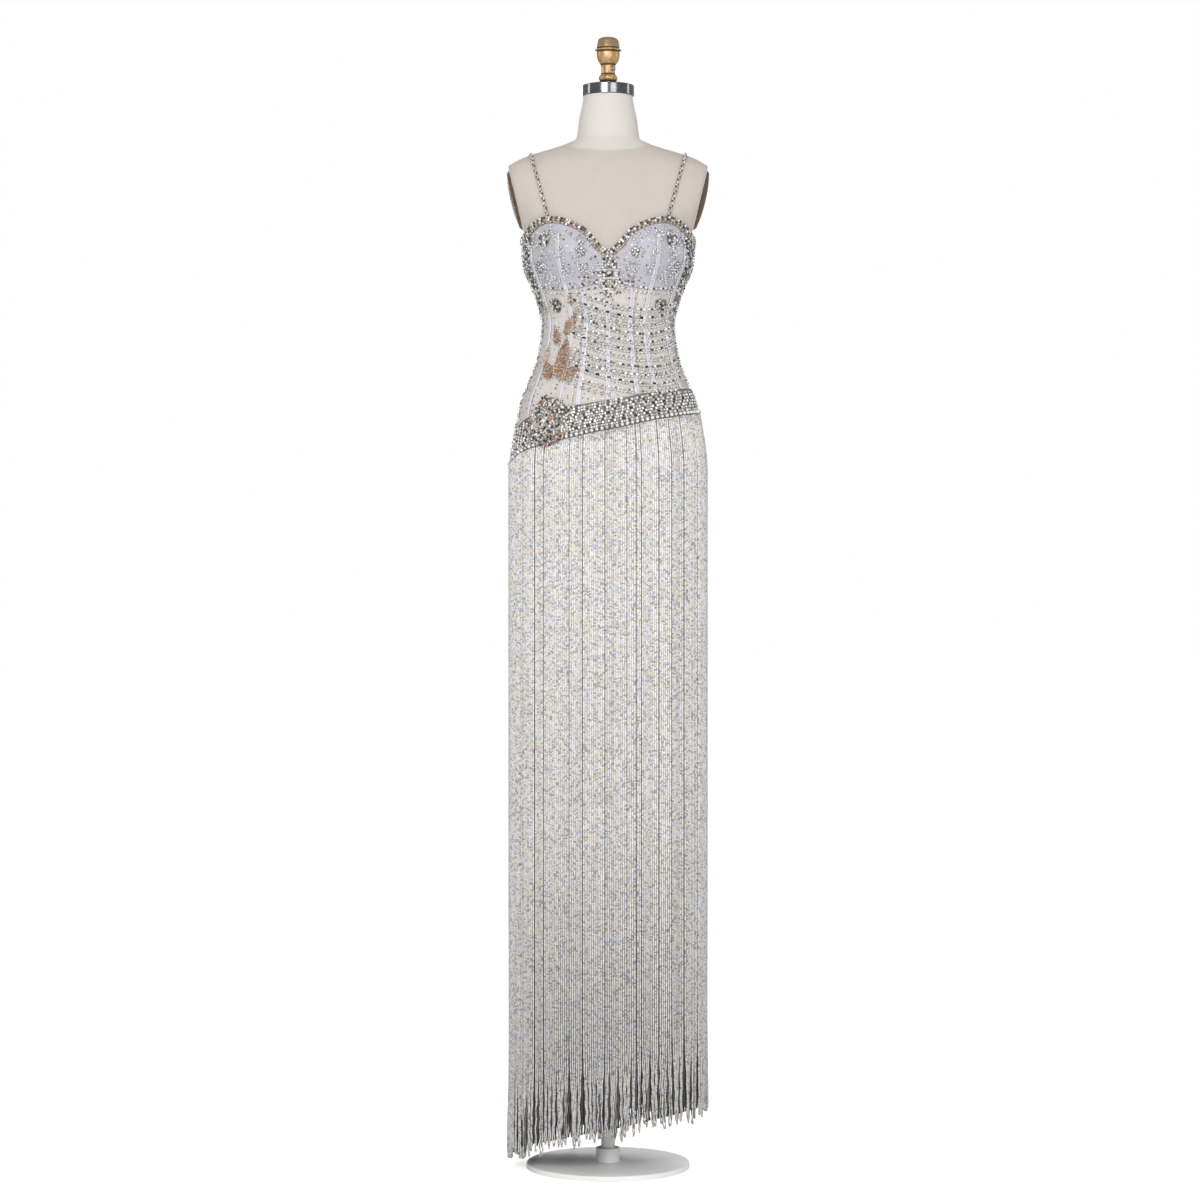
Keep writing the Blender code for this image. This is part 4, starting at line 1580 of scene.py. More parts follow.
    def finial(self) -> None:
        """The turned finial and its slotted screw."""
        foot_z = self.stem_top_z + self.gap
        outline = (
            (0.0000, 0.0817),
            (0.0090, 0.0815),
            (0.0140, 0.0807),
            (0.0186, 0.0770),
            (0.0202, 0.0700),
            (0.0211, 0.0640),
            (0.0203, 0.0619),
            (0.0205, 0.0606),
            (0.0238, 0.0596),
            (0.0240, 0.0574),
            (0.0211, 0.0562),
            (0.0207, 0.0550),
            (0.0216, 0.0530),
            (0.0213, 0.0480),
            (0.0195, 0.0402),
            (0.0150, 0.0327),
            (0.0130, 0.0292),
            (0.0130, 0.0172),
            (0.0140, 0.0132),
            (0.0170, 0.0092),
            (0.0170, 0.0042),
            (0.0140, 0.0000),
        )
        curve = [(max(r, 0.0), foot_z + h) for r, h in rounded(outline, 4)]
        knob = turned(
            "finial",
            [*curve, (0.0, foot_z)],
            GILT,
            "gilt_wood",
            72,
            grooves=[foot_z + height for height in (0.0613, 0.0556, 0.0312, 0.0140, 0.0010)],
        )
        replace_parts(knob, "form_finial")
        self.screw()

    def screw(self) -> None:
        """The short slotted screw at the finial's waist."""
        radius, length, waist, z = 0.0042, 0.005, 0.0130, 2.016
        mesh = bmesh.new()
        bmesh.ops.create_cone(
            mesh, cap_ends=True, segments=32, radius1=radius, radius2=radius, depth=length
        )
        rim = [e for e in mesh.edges if all(abs(v.co.z - length / 2) < 1e-6 for v in e.verts)]
        bmesh.ops.bevel(
            mesh,
            geom=rim,
            offset=0.0006,
            affect="EDGES",
            segments=2,
            profile=0.5,
            material=-1,
        )
        towards = Vector((0.64, -0.77, 0)).normalized()
        turn = towards.to_track_quat("Z", "Y").to_matrix().to_4x4()
        middle = towards * (waist + self.gap + length / 2) + Vector((0, 0, z))
        bmesh.ops.transform(mesh, verts=mesh.verts, matrix=Matrix.Translation(middle) @ turn)
        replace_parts(from_bmesh("finial_screw", mesh, PALE_STEEL, "steel", 40), "form_finial_screw")

    def stand(self) -> None:
        """The plain round base, its hub, and the pole up to the torso."""
        edge, radius, thick = 0.002, 0.150, 0.010
        hub_z, pole_radius = 0.036, 0.0125
        profiles = {
            "base": (
                (0, thick),
                (radius - 3 * edge, thick),
                (radius - edge, thick - edge / 4),
                (radius - edge / 4, thick - edge),
                (radius, thick - 2 * edge),
                (radius, edge / 2),
                (radius - edge / 2, 0),
                (0, 0),
            ),
            "hub": (
                (0, hub_z),
                (0.0200, hub_z),
                (0.0213, hub_z - 0.0005),
                (0.0220, hub_z - 0.0020),
                (0.0220, thick + self.gap),
                (0, thick + self.gap),
            ),
            "pole": (
                (0, self.bottom_z - self.gap),
                (pole_radius, self.bottom_z - self.gap),
                (pole_radius, hub_z + self.gap),
                (0, hub_z + self.gap),
            ),
        }
        for name, profile in profiles.items():
            piece = turned(f"stand_{name}", profile, PAINT, "stand_paint", 96)
            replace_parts(piece, f"form_{name}")


# The gown's cloth


class Panel(NamedTuple):
    """A cloth panel between two angles, from low(angle) up to high(angle)."""

    node: str
    first: float
    last: float
    low: Callable[[float], float]
    high: Callable[[float], float]


def on_panel(panel: Panel, out: float) -> Surface:
    """The surface of a panel, which stands off the form by out.

    Args:
        panel: The panel.
        out: How far out it lies.

    Returns:
        The surface.
    """
    gap = HALF_GAP / WAIST_RADIUS

    def place(u: float, v: float) -> Vector:
        """The point u of the way across and v of the way up."""
        angle = blend(panel.first + gap, panel.last - gap, u)
        return FIGURE.on_body(angle, blend(panel.low(angle), panel.high(angle), v), out)

    return place


@dataclass
class Bodice:
    """The strapped corset bodice: cups, net panels, placket and boning channels."""

    tray: StoneTray
    channel_width: float = 0.008
    placket_width: float = 0.020
    trim_width: float = 0.012
    lap: float = 0.001
    clear: float = 0.0006

    def panels(self) -> list[Panel]:
        """All the panels, named as their nodes.

        Returns:
            The front centre panel, then each pair, left and right.
        """

        def low(angle: float) -> float:
            """The lower edge, under the hip band's middle."""
            return FIGURE.band_middle(angle) + self.lap

        def under(angle: float) -> float:
            """Just below the cup's seam."""
            return FIGURE.cup_seam(angle) - HALF_GAP

        def above(angle: float) -> float:
            """Just above the cup's seam."""
            return FIGURE.cup_seam(angle) + HALF_GAP

        found = [Panel("bodice_front_centre", -CENTRE_SIDE, CENTRE_SIDE, low, under)]
        for name, first, last, foot, head in (
            ("bodice_front", CENTRE_SIDE, CUP_SIDE, low, under),
            ("cup", 0.0, CUP_SIDE, above, FIGURE.neckline),
            ("bodice_side", CUP_SIDE, BACK_SIDE, low, FIGURE.neckline),
            ("bodice_back", BACK_SIDE, math.pi, low, FIGURE.neckline),
        ):
            found.append(Panel(f"{name}_left", first, last, foot, head))
            found.append(Panel(f"{name}_right", -last, -first, foot, head))
        return found

    def build(self) -> None:
        """Builds the cloth, then what is sewn on it."""
        beadwork = Embroidery(self.tray).build()
        going = self.rosettes()
        going["bodice_front_centre"] = [beadwork, *self.channels()]
        for panel in self.panels():
            is_cup = panel.node.startswith("cup")
            cloth = Cloth(
                f"{panel.node}_cloth",
                on_panel(panel, NET_LAYER.outer),
                CUP_CLOTH if is_cup else NUDE_NET,
                "cup_net" if is_cup else "sheer_net",
                pitch=0.0035 if is_cup else 0.004,
                thick=0.0008,
            )
            obj = cloth.build()
            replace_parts(obj, panel.node)
            cloth.declare(obj, going.get(panel.node, []))
        self.placket()

    def rosettes(self) -> dict[str, list[bpy.types.Object]]:
        """The small rosettes, by the panel on which each is sewn.

        Returns:
            Each rosette's backing and stones.
        """
        found = {}
        dome, stones = 0.003, 24
        for name, panel, degrees, z, width, height in (
            ("cup", "cup", 44, 1.694, 0.026, 0.028),
            ("waist", "bodice_front", 47, 1.578, 0.022, 0.024),
        ):
            for side, sign in (("left", 1), ("right", -1)):
                node, at = f"rosette_{name}_{side}", sign * degrees
                rosette = Rosette(node, at, z, width, height, dome, stones, ROSETTE_LAYER)
                found[f"{panel}_{side}"] = list(rosette.build(self.tray, TAPE))
        return found

    def strip(self, angle: float, high: float, width: float, out: float) -> Surface:
        """The surface of a narrow strip that runs up over the net at one angle.

        Args:
            angle: The angle of its middle line.
            high: The height of its upper end.
            width: Its width.
            out: How far out it lies.

        Returns:
            The surface.
        """

        def place(u: float, v: float) -> Vector:
            """The point u of the way across and v of the way up."""
            low = FIGURE.band(angle)[1] + self.clear
            z = blend(low, high, v)
            at = angle + (u - 0.5) * width / FIGURE.reach(angle, z)
            slant = FIGURE.band(at)[1] + self.clear - low
            return FIGURE.on_body(at, z + slant * (1 - v), out)

        return place

    def channels(self) -> list[bpy.types.Object]:
        """Ribbon channels over the bones, from the hip band up to the cups or into them.

        Returns:
            The channels.
        """
        rows = (
            ("centre", 0, 1.606),
            ("left_1", 2.5, 1.604),
            ("right_1", -2.5, 1.604),
            ("left_2", 4.5, 1.700),
            ("right_2", -4.5, 1.700),
            ("left_3", 8.5, 1.680),
            ("right_3", -8.5, 1.680),
            ("left_4", 14.5, 1.672),
            ("right_4", -14.5, 1.672),
            ("left_5", 20.5, 1.654),
            ("right_5", -20.5, 1.654),
        )
        made = []
        for name, columns, high in rows:
            place = self.strip(columns * COLUMN, high, self.channel_width, TOP_LAYER.outer)
            cloth = Cloth(
                f"channel_{name}_ribbon", place, RIBBON, "boning_ribbon", pitch=0.002, thick=0.0008
            )
            made.append(cloth.build())
            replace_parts(made[-1], f"channel_{name}")
        return made

    def placket(self) -> None:
        """The lapped strip that hides the hooks and eyes down the centre back."""
        high = FIGURE.neckline(math.pi) - self.trim_width - self.clear
        place = self.strip(math.pi, high, self.placket_width, TOP_LAYER.outer)
        cloth = Cloth("back_placket_cloth", place, PLACKET_CLOTH, "sheer_net", pitch=0.003)
        obj = cloth.build()
        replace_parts(obj, "back_placket")
        cloth.declare(obj)


@dataclass
class Embroidery:
    """Generic beadwork on the net: swags, curls, leaf sprays, small flowers and scattered beads."""

    tray: StoneTray
    out: float = 0.0051
    tiers: int = 11

    def build(self) -> bpy.types.Object:
        """Sews every motif, and returns the beadwork as one piece.

        Returns:
            The beadwork.
        """
        self.work = Beadwork("bodice_beadwork", self.tray, seed=5)
        self.swags()
        self.centre_point()
        self.underarms()
        self.side_lines()
        self.leaves()
        self.cup_vines()
        self.flowers()
        self.scatter()
        return self.work.build()

    def swags(self) -> None:
        """Garlands that hang across the front, each a row of stones over a finer one."""
        styles = (
            (Unit.ROUND, 0.0052),
            (Unit.DARK, 0.0052),
            (Unit.SMALL, 0.0040),
            (Unit.MIXED, 0.0054),
        )
        for tier in range(self.tiers):
            first, last = math.radians(-23 - 3 * (tier % 3)), math.radians(70)
            top_z = blend(1.600, 1.448, tier / (self.tiers - 1))
            path = []
            for k in range(61):
                share = k / 60
                z = top_z - 0.024 * math.sin(math.pi * share) - 0.014 * share
                angle = blend(first, last, share)
                if z > FIGURE.band(angle)[1] + 0.005:
                    path.append((angle, z))
            unit, pitch = styles[tier % len(styles)]
            self.work.row(path, pitch, self.out, unit, 1.15)
            lower = [(angle, z - 0.0050) for angle, z in path if z - 0.007 > FIGURE.band(angle)[1]]
            self.work.row(lower, 0.0032, self.out, Unit.PALE)
            if tier % 3 == 1:
                self.rings([(angle, z - 0.0100) for angle, z in lower])

    def rings(self, path: Sequence[Place]) -> None:
        """Small rings of beads, spaced along a line.

        Args:
            path: The line.
        """
        for middle in along(path, 0.0125):
            if middle[1] < FIGURE.band(middle[0])[1] + 0.006:
                continue
            self.work.sew_at(middle, self.out, 0.0013, Tint.CHAMPAGNE)
            for k in range(7):
                turn = math.tau * k / 7
                spot = beside(middle, 0.0030 * math.cos(turn), 0.0030 * math.sin(turn))
                tint = Tint.SMOKE if k % 2 else Tint.CLEAR
                self.work.sew_at(spot, self.out, 0.0012, tint, Cut.BEAD)

    def centre_point(self) -> None:
        """A close-set kite of crystals below the neckline's point, and a scatter round it."""
        top_z, foot_z, pitch = 1.666, 1.584, 0.0048
        rows = round((top_z - foot_z) / pitch)
        tints = (Tint.CLEAR, Tint.SILVER, Tint.SMOKE, Tint.CHAMPAGNE, Tint.JET, Tint.COPPER)
        for row in range(rows):
            z = top_z - row * pitch
            share = row / rows
            half = 0.026 * min(share / 0.35, (1 - share) / 0.65) + 0.002
            count = max(1, round(2 * half / pitch))
            for k in range(count + 1):
                across = blend(-half, half, k / count) + (row % 2) * pitch / 2
                tint = self.work.chance.choices(tints, (9, 4, 2, 2, 3, 1))[0]
                size = self.work.chance.uniform(0.0020, 0.0028)
                self.work.sew_at(beside((0.0, z), across, 0), self.out, size, tint)
        taken: list[Place] = []
        half_width, half_height, spacing, scattered = 0.078, 0.036, 0.0040, 190
        while len(taken) < scattered:
            turn, far = self.work.chance.uniform(0, math.tau), self.work.chance.random() ** 0.75
            across = half_width * far * math.cos(turn)
            up = half_height * far * math.sin(turn)
            if any(math.hypot(across - a, up - b) < spacing for a, b in taken):
                continue
            taken.append((across, up))
            place = beside((0.0, 1.628), across, up)
            if place[1] > FIGURE.neckline(place[0]) - 0.012:
                continue
            tint = self.work.chance.choices(tints, (7, 4, 2, 2, 1, 1))[0]
            size = self.work.chance.uniform(0.0015, 0.0022)
            self.work.sew_at(place, self.out, size, tint)

    def underarms(self) -> None:
        """Close crystals that widen the trim towards each underarm, and edge the front's sides."""
        pitch, length, widest, narrowest = 0.0050, 0.140, 0.026, 0.006
        for side in (-1, 1):
            for row in range(30):
                drop = 0.008 + row * pitch * 0.87
                reach = widest * (1 - drop / length) + narrowest
                for k in range(round(reach / pitch) + 1):
                    angle = side * math.radians(76)
                    place = (angle, FIGURE.neckline(angle) - drop)
                    across = -side * (k * pitch + (row % 2) * pitch / 2)
                    tint = self.work.chance.choices(
                        (Tint.CLEAR, Tint.SILVER, Tint.SMOKE, Tint.JET, Tint.CHAMPAGNE),
                        (5, 3, 5, 9, 1),
                    )[0]
                    size = self.work.chance.uniform(0.0020, 0.0029)
                    self.work.sew_at(beside(place, across, 0), self.out, size, tint)

    def side_lines(self) -> None:
        """Lines of stones down the sides and the back."""
        for degrees, wavy, scale in (
            (79, 0, 1.2),
            (86, 0, 1.2),
            (99, 0.04, 1),
            (118, 0.05, 1),
            (140, 0.05, 1),
            (163, 0.04, 1),
        ):
            for side in (-1, 1):
                angle = side * math.radians(degrees)
                high, low = FIGURE.neckline(angle) - 0.018, FIGURE.band(angle)[1] + 0.006
                path = [
                    (angle + wavy * math.sin(k / 40 * math.tau * 1.5), blend(high, low, k / 40))
                    for k in range(41)
                ]
                self.work.row(path, 0.0046 * scale, self.out, Unit.MIXED, scale)
                if wavy:
                    beside_it = [(at + 0.035 * side, z) for at, z in path]
                    self.work.row(beside_it, 0.0034, self.out, Unit.SMALL, 0.85)

    def leaf(self, place: Place, heading: float, length: float, width: float, fill: Tint) -> None:
        """A pointed leaf: its edge in silver beads, filled with rows of another tint.

        Args:
            place: The leaf's foot.
            heading: The way it points, in radians from level.
            length: How long it is.
            width: How wide it is at its widest.
            fill: The tint inside its edge.
        """
        sine, cosine = math.sin(heading), math.cos(heading)

        def at(run: float, side: float) -> Place:
            """The place this far along the leaf and off to its side."""
            return beside(place, run * cosine - side * sine, run * sine + side * cosine)

        def half(run: float) -> float:
            """Half the leaf's width this far along it."""
            return width / 2 * math.sin(math.pi * (run / length) ** 0.8)

        for side in (-1, 1):
            edge = [at(length * k / 16, side * half(length * k / 16)) for k in range(17)]
            self.work.row(edge, 0.0030, self.out, Unit.SMALL, 0.85)
        pitch = 0.0024
        for k in range(1, round(length / pitch)):
            run = k * pitch
            count = int((half(run) - 0.001) / pitch)
            for step in range(-count, count + 1):
                tint = self.work.chance.choices((fill, Tint.CHAMPAGNE, Tint.SMOKE), (7, 3, 1))[0]
                spot = at(run, (step + 0.25 * (-1) ** k) * pitch)
                self.work.sew_at(spot, self.out - 0.0003, 0.00125, tint, Cut.BEAD)

    def leaves(self) -> None:
        """Copper leaves over the wearer's right waist, and small silver sprays elsewhere."""
        sprays = (
            (-38, 1.440, 86, 0.080, 0.034, Tint.COPPER),
            (-43, 1.440, 134, 0.052, 0.024, Tint.COPPER),
            (-36, 1.436, 38, 0.048, 0.024, Tint.COPPER),
            (-38, 1.518, 66, 0.050, 0.022, Tint.COPPER),
            (-45, 1.502, 108, 0.040, 0.018, Tint.COPPER),
            (-31, 1.574, 84, 0.026, 0.011, Tint.COPPER),
            (-62, 1.560, 96, 0.030, 0.012, Tint.SILVER),
            (-60, 1.470, 84, 0.034, 0.013, Tint.CHAMPAGNE),
        )
        for degrees, z, heading, length, width, fill in sprays:
            self.leaf((math.radians(degrees), z), math.radians(heading), length, width, fill)
        for side in (-1, 1):
            for k in range(6):
                angle = side * math.radians(blend(104, 156, k / 5))
                turn = math.pi / 2 + side * (0.6 if k % 2 else -0.6)
                fill = Tint.CHAMPAGNE if k % 3 else Tint.COPPER
                self.leaf((angle, blend(1.640, 1.470, k / 5)), turn, 0.026, 0.012, fill)

    def curl(self, place: Place, size: float, hand: int, start: float) -> None:
        """A curl of fine beads that winds in from its tail.

        Args:
            place: Its middle.
            size: Its radius at the tail.
            hand: Which way it winds, 1 or -1.
            start: Where the tail starts, in radians.
        """
        path = []
        for k in range(33):
            share = k / 32
            radius = size * (1 - share) ** 0.8
            turn = start + hand * share * math.tau * 1.15
            path.append(beside(place, radius * math.cos(turn), radius * math.sin(turn)))
        self.work.row(path, 0.0030, self.out, Unit.PALE)

    def cup_vines(self) -> None:
        """Wavy stems over the cups with a curl and a leaf at each bend."""
        stems = (
            (14, 1.628, 22, 1.706),
            (28, 1.618, 34, 1.716),
            (44, 1.612, 46, 1.676),
            (58, 1.612, 58, 1.706),
        )
        for side in (-1, 1):
            for number, (first, low, last, high) in enumerate(stems):
                path = []
                for k in range(33):
                    share = k / 32
                    bend = 3.2 * math.sin(share * math.tau * 1.25 + number)
                    degrees = blend(first, last, share) + bend
                    path.append((side * math.radians(degrees), blend(low, high, share)))
                self.work.row(path, 0.0031, self.out, Unit.PALE)
                for turn, k in enumerate((5, 15, 25)):
                    hand = side * (1 if turn % 2 else -1)
                    middle = beside(path[k], hand * 0.010, 0.003)
                    self.curl(middle, 0.0095, -hand, math.pi * (turn % 2))
            seam = [
                (side * angle, FIGURE.cup_seam(angle) + 0.004)
                for angle in (blend(0.06, CUP_SIDE, k / 40) for k in range(41))
            ]
            self.work.row(seam, 0.0048, self.out, Unit.ROUND)
            below = [(angle, z - 0.009) for angle, z in seam]
            self.work.row(below, 0.0040, self.out, Unit.SMALL, 1.2)

    def flower(self, place: Place, size: float, petal: Tint) -> None:
        """A five-petalled flower of pointed stones round a clear one.

        Args:
            place: Its middle.
            size: Its radius.
            petal: The petals' tint.
        """
        self.work.sew_at(place, self.out, size * 0.30, Tint.CLEAR)
        for k in range(5):
            turn = math.tau * (k / 5 + 0.25)
            spot = beside(place, 0.62 * size * math.cos(turn), 0.62 * size * math.sin(turn))
            self.work.sew_at(spot, self.out, size * 0.30, petal)
            for step in range(6):
                around = math.tau * step / 6
                near = beside(
                    spot, 0.36 * size * math.cos(around), 0.36 * size * math.sin(around)
                )
                self.work.sew_at(near, self.out, 0.0012, Tint.SMOKE, Cut.BEAD)

    def flowers(self) -> None:
        """Small flowers on the cups, the sides and the back."""
        for degrees, z, size, petal in (
            (52, 1.646, 0.009, Tint.CLEAR),
            (16, 1.668, 0.008, Tint.CLEAR),
            (88, 1.640, 0.010, Tint.SILVER),
            (106, 1.560, 0.010, Tint.SMOKE),
            (128, 1.620, 0.010, Tint.CHAMPAGNE),
            (150, 1.520, 0.010, Tint.SILVER),
            (152, 1.610, 0.008, Tint.COPPER),
        ):
            for side in (-1, 1):
                self.flower((side * math.radians(degrees), z), size, petal)

    def scatter(self) -> None:
        """Single small beads over all the net, never quite in line."""
        pitch, foot_z, rows = 0.0102, 1.372, 36
        for row in range(rows):
            z = foot_z + row * pitch
            degrees = -178 + (row % 2) * 2.2
            while degrees < 178:
                angle = math.radians(degrees)
                place = (
                    angle + self.work.chance.uniform(-0.02, 0.02),
                    z + self.work.chance.uniform(-0.003, 0.003),
                )
                if FIGURE.band(angle)[1] + 0.004 < place[1] < FIGURE.neckline(angle) - 0.014:
                    tint = self.work.chance.choice((Tint.CLEAR, Tint.SILVER, Tint.SMOKE))
                    size = self.work.chance.uniform(0.0013, 0.0021)
                    self.work.sew_at(place, NET_LAYER.outer, size, tint)
                degrees += math.degrees(pitch / FIGURE.reach(angle, z))


@dataclass
class NeckTrim:
    """The jewelled edge of the neckline, in a front and two back lengths, and the straps."""

    tray: StoneTray
    width: float = 0.012
    end_gap: float = 0.0012
    strap_width: float = 0.005
    front_x: float = 0.108
    top_x: float = 0.142
    back_x: float = 0.086

    def build(self) -> None:
        """Builds the straps and the trim that they are sewn to."""
        straps = [*self.strap(1, "left"), *self.strap(-1, "right")]
        for name, first, last, going in (
            ("front", -CUP_SIDE, CUP_SIDE, straps),
            ("back_left", CUP_SIDE, math.pi, []),
            ("back_right", -math.pi, -CUP_SIDE, []),
        ):
            self.length(name, first + self.end_gap, last - self.end_gap, going)

    def drop(self, angle: float) -> float:
        """How far the trim reaches down, measured upright, where the neckline slopes."""
        step = 0.01
        run = (FIGURE.surface(angle + step, 1.70) - FIGURE.surface(angle - step, 1.70)).length
        slope = (FIGURE.neckline(angle + step) - FIGURE.neckline(angle - step)) / run
        return self.width * math.sqrt(1 + slope**2)

    def length(
        self, name: str, first: float, last: float, going: list[bpy.types.Object]
    ) -> None:
        """One length of trim: its tape, its rows of stones, and the straps that go with it.

        Args:
            name: Which length it is.
            first: The angle where it starts.
            last: The angle where it ends.
            going: The straps' pieces.
        """

        def edge(angle: float, v: float) -> Place:
            """The place v of the way up the trim."""
            return angle, FIGURE.neckline(angle) + 0.0003 - self.drop(angle) * (1 - v)

        def place(u: float, v: float) -> Vector:
            """The point u of the way along and v of the way up."""
            return FIGURE.on_body(*edge(blend(first, last, u), v), TRIM_LAYER.outer)

        cloth = Cloth(f"trim_{name}_tape", place, TAPE, "rhinestone", pitch=0.003, thick=0.0016)
        tape = cloth.build()
        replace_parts(tape, f"trim_{name}")
        work = Beadwork(f"trim_{name}_stones", self.tray, seed=21)
        angles = [blend(first, last, k / 160) for k in range(161)]
        for v, pitch, unit, scale in (
            (0.86, 0.0050, Unit.MIXED, 1.10),
            (0.48, 0.0049, Unit.MIXED, 1.10),
            (0.13, 0.0039, Unit.WARM, 1.25),
        ):
            path = [edge(angle, v) for angle in angles]
            work.row(path, pitch, TRIM_LAYER.outer - SUNK, unit, scale)
        stones = work.build()
        cloth.declare(tape, [stones, *going])

    def angle_at(self, x: float, z: float) -> float:
        """The angle, on the front, at which the skin is at x."""
        half_width, _, _, squareness = FIGURE.sections.at(z)
        return math.asin(min(1.0, (abs(x) / half_width) ** (squareness / 2)))

    def ridge_z(self) -> float:
        """The height of the shoulder's ridge under the strap.

        Returns:
            The height.
        """
        low, high = 1.832, FIGURE.neck_top_z
        for _ in range(40):
            middle = (low + high) / 2
            if FIGURE.sections.at(middle)[0] > self.top_x:
                low = middle
            else:
                high = middle
        return low

    def strap_line(self) -> list[Place]:
        """The strap's way from the front edge, over the shoulder, to the back edge.

        Returns:
            Close places on the skin.
        """
        top_z = self.ridge_z()
        front_z = FIGURE.neckline(self.angle_at(self.front_x, 1.73)) + 0.0009
        back_z = FIGURE.neckline(math.pi - self.angle_at(self.back_x, 1.68)) + 0.0021
        fine = []
        for end_x, end_z, behind in ((self.front_x, front_z, False), (self.back_x, back_z, True)):
            run = []
            for k in range(121):
                share = 1 - (1 - k / 120) ** 2
                z = blend(end_z, top_z, share)
                angle = self.angle_at(blend(end_x, self.top_x, share), z)
                run.append((math.pi - angle if behind else angle, z))
            fine += run[::-1] if behind else run
        return fine

    def strap(self, side: int, name: str) -> list[bpy.types.Object]:
        """One strap: its narrow tape, and two staggered rows of stones.

        Args:
            side: 1 for the left strap and -1 for the right.
            name: The side's name.

        Returns:
            The tape and the stones.
        """
        line = along(self.strap_line(), 0.003)
        points = [FIGURE.surface(*place) for place in line]
        normals = [FIGURE.outward(*place) for place in line]

        def place(u: float, v: float, out: float = STRAP_LAYER.outer) -> Vector:
            """The point u of the way along and v of the way across."""
            spot = u * (len(line) - 1)
            i = min(int(spot), len(line) - 2)
            t = spot - i
            ahead = points[i + 1] - points[i]
            normal = normals[i].lerp(normals[i + 1], t).normalized()
            across = ahead.cross(normal).normalized() * -self.strap_width * (v - 0.5)
            at = points[i].lerp(points[i + 1], t) + normal * out + across
            return Vector((side * at.x, at.y, at.z))

        def facing(u: float, v: float) -> Vector:
            """The same, with u across for the left strap and mirrored for the right one."""
            return place(u, v if side > 0 else 1 - v)

        tape = Cloth(
            f"strap_{name}_tape", facing, TAPE, "rhinestone", pitch=0.0025, thick=0.0018
        ).build()
        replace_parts(tape, f"strap_{name}")
        work = Beadwork(f"strap_{name}_stones", self.tray, seed=31)
        count = round(arc(facing, True, 0.5) / 0.0036)
        for k in range(1, count):
            for v, shift in ((0.25, 0.0), (0.75, 0.5)):
                u = min((k + shift) / count, 0.995)
                i = min(int(u * (len(line) - 1)), len(line) - 2)
                aim = Vector((side * normals[i].x, normals[i].y, normals[i].z))
                tint = (Tint.CLEAR, Tint.CHAMPAGNE, Tint.SILVER, Tint.JET)[(k + int(v * 4)) % 4]
                work.sew(place(u, v, STRAP_LAYER.outer), aim, 0.0017, tint)
        return [tape, work.build()]


@dataclass
class Rosette:
    """A domed oval cluster of stones."""

    node: str
    degrees: float
    z: float
    width: float
    height: float
    dome: float
    stones: int
    layer: Layer
    mix: tuple[int, ...] = (6, 3, 4, 5, 1, 0)
    ragged: float = 0.0

    def build(self, tray: StoneTray, ground: Finish) -> tuple[bpy.types.Object, bpy.types.Object]:
        """Builds the backing and its stones.

        Args:
            tray: The stones' cuts.
            ground: The backing's finish.

        Returns:
            The backing and the stones.
        """
        middle = (math.radians(self.degrees), self.z)
        mesh = bmesh.new()
        bmesh.ops.create_uvsphere(mesh, u_segments=40, v_segments=16, radius=1)
        for vert in mesh.verts:
            x, y, z = vert.co
            place = beside(middle, x * self.width / 2, y * self.height / 2)
            rise = self.dome * max(z, 0.0)
            out = self.layer.inner if z < -0.02 else self.layer.outer + rise
            vert.co = FIGURE.on_body(*place, out)
        bmesh.ops.recalc_face_normals(mesh, faces=mesh.faces)
        charted(mesh, lambda co: (co.x, co.z))
        backing = from_bmesh(f"{self.node}_backing", mesh, ground, "rhinestone", 50)
        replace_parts(backing, self.node)
        work = Beadwork(f"{self.node}_stones", tray, seed=int(self.z * 1000))
        self.set_stones(work, middle)
        return backing, work.build()

    def set_stones(self, work: Beadwork, middle: Place) -> None:
        """Stones of mixed tints, wound out from the middle, the largest there.

        Args:
            work: The beadwork that they go into.
            middle: The rosette's middle.
        """
        golden = math.pi * (3 - math.sqrt(5))
        spacing = math.sqrt(math.pi * self.width * self.height / 4 / self.stones)
        tints = (Tint.CLEAR, Tint.SILVER, Tint.SMOKE, Tint.JET, Tint.CHAMPAGNE, Tint.COPPER)
        for k in range(self.stones):
            share, turn = math.sqrt((k + 0.5) / self.stones) * (1.02 + self.ragged / 2), k * golden
            lobes = math.sin(3 * turn + 1) + 0.7 * math.sin(7 * turn)
            spread = share * (1 + self.ragged * share * lobes) * work.chance.uniform(0.96, 1.03)
            place = beside(
                middle,
                spread * math.cos(turn) * self.width / 2,
                spread * math.sin(turn) * self.height / 2,
            )
            out = self.layer.outer + self.dome * math.sqrt(max(1 - spread**2, 0)) - 2 * SUNK
            if spread > 1.03 and self.ragged:
                out = BAND_LAYER.outer
            tint = work.chance.choices(tints, self.mix)[0]
            cut = Cut.NAVETTE if k % 4 == 2 and share > 0.3 else Cut.CHATON
            size = spacing * work.chance.uniform(0.46, 0.64) * (1.15 if share < 0.3 else 1.0)
            work.sew_at(place, out, size, tint, cut)


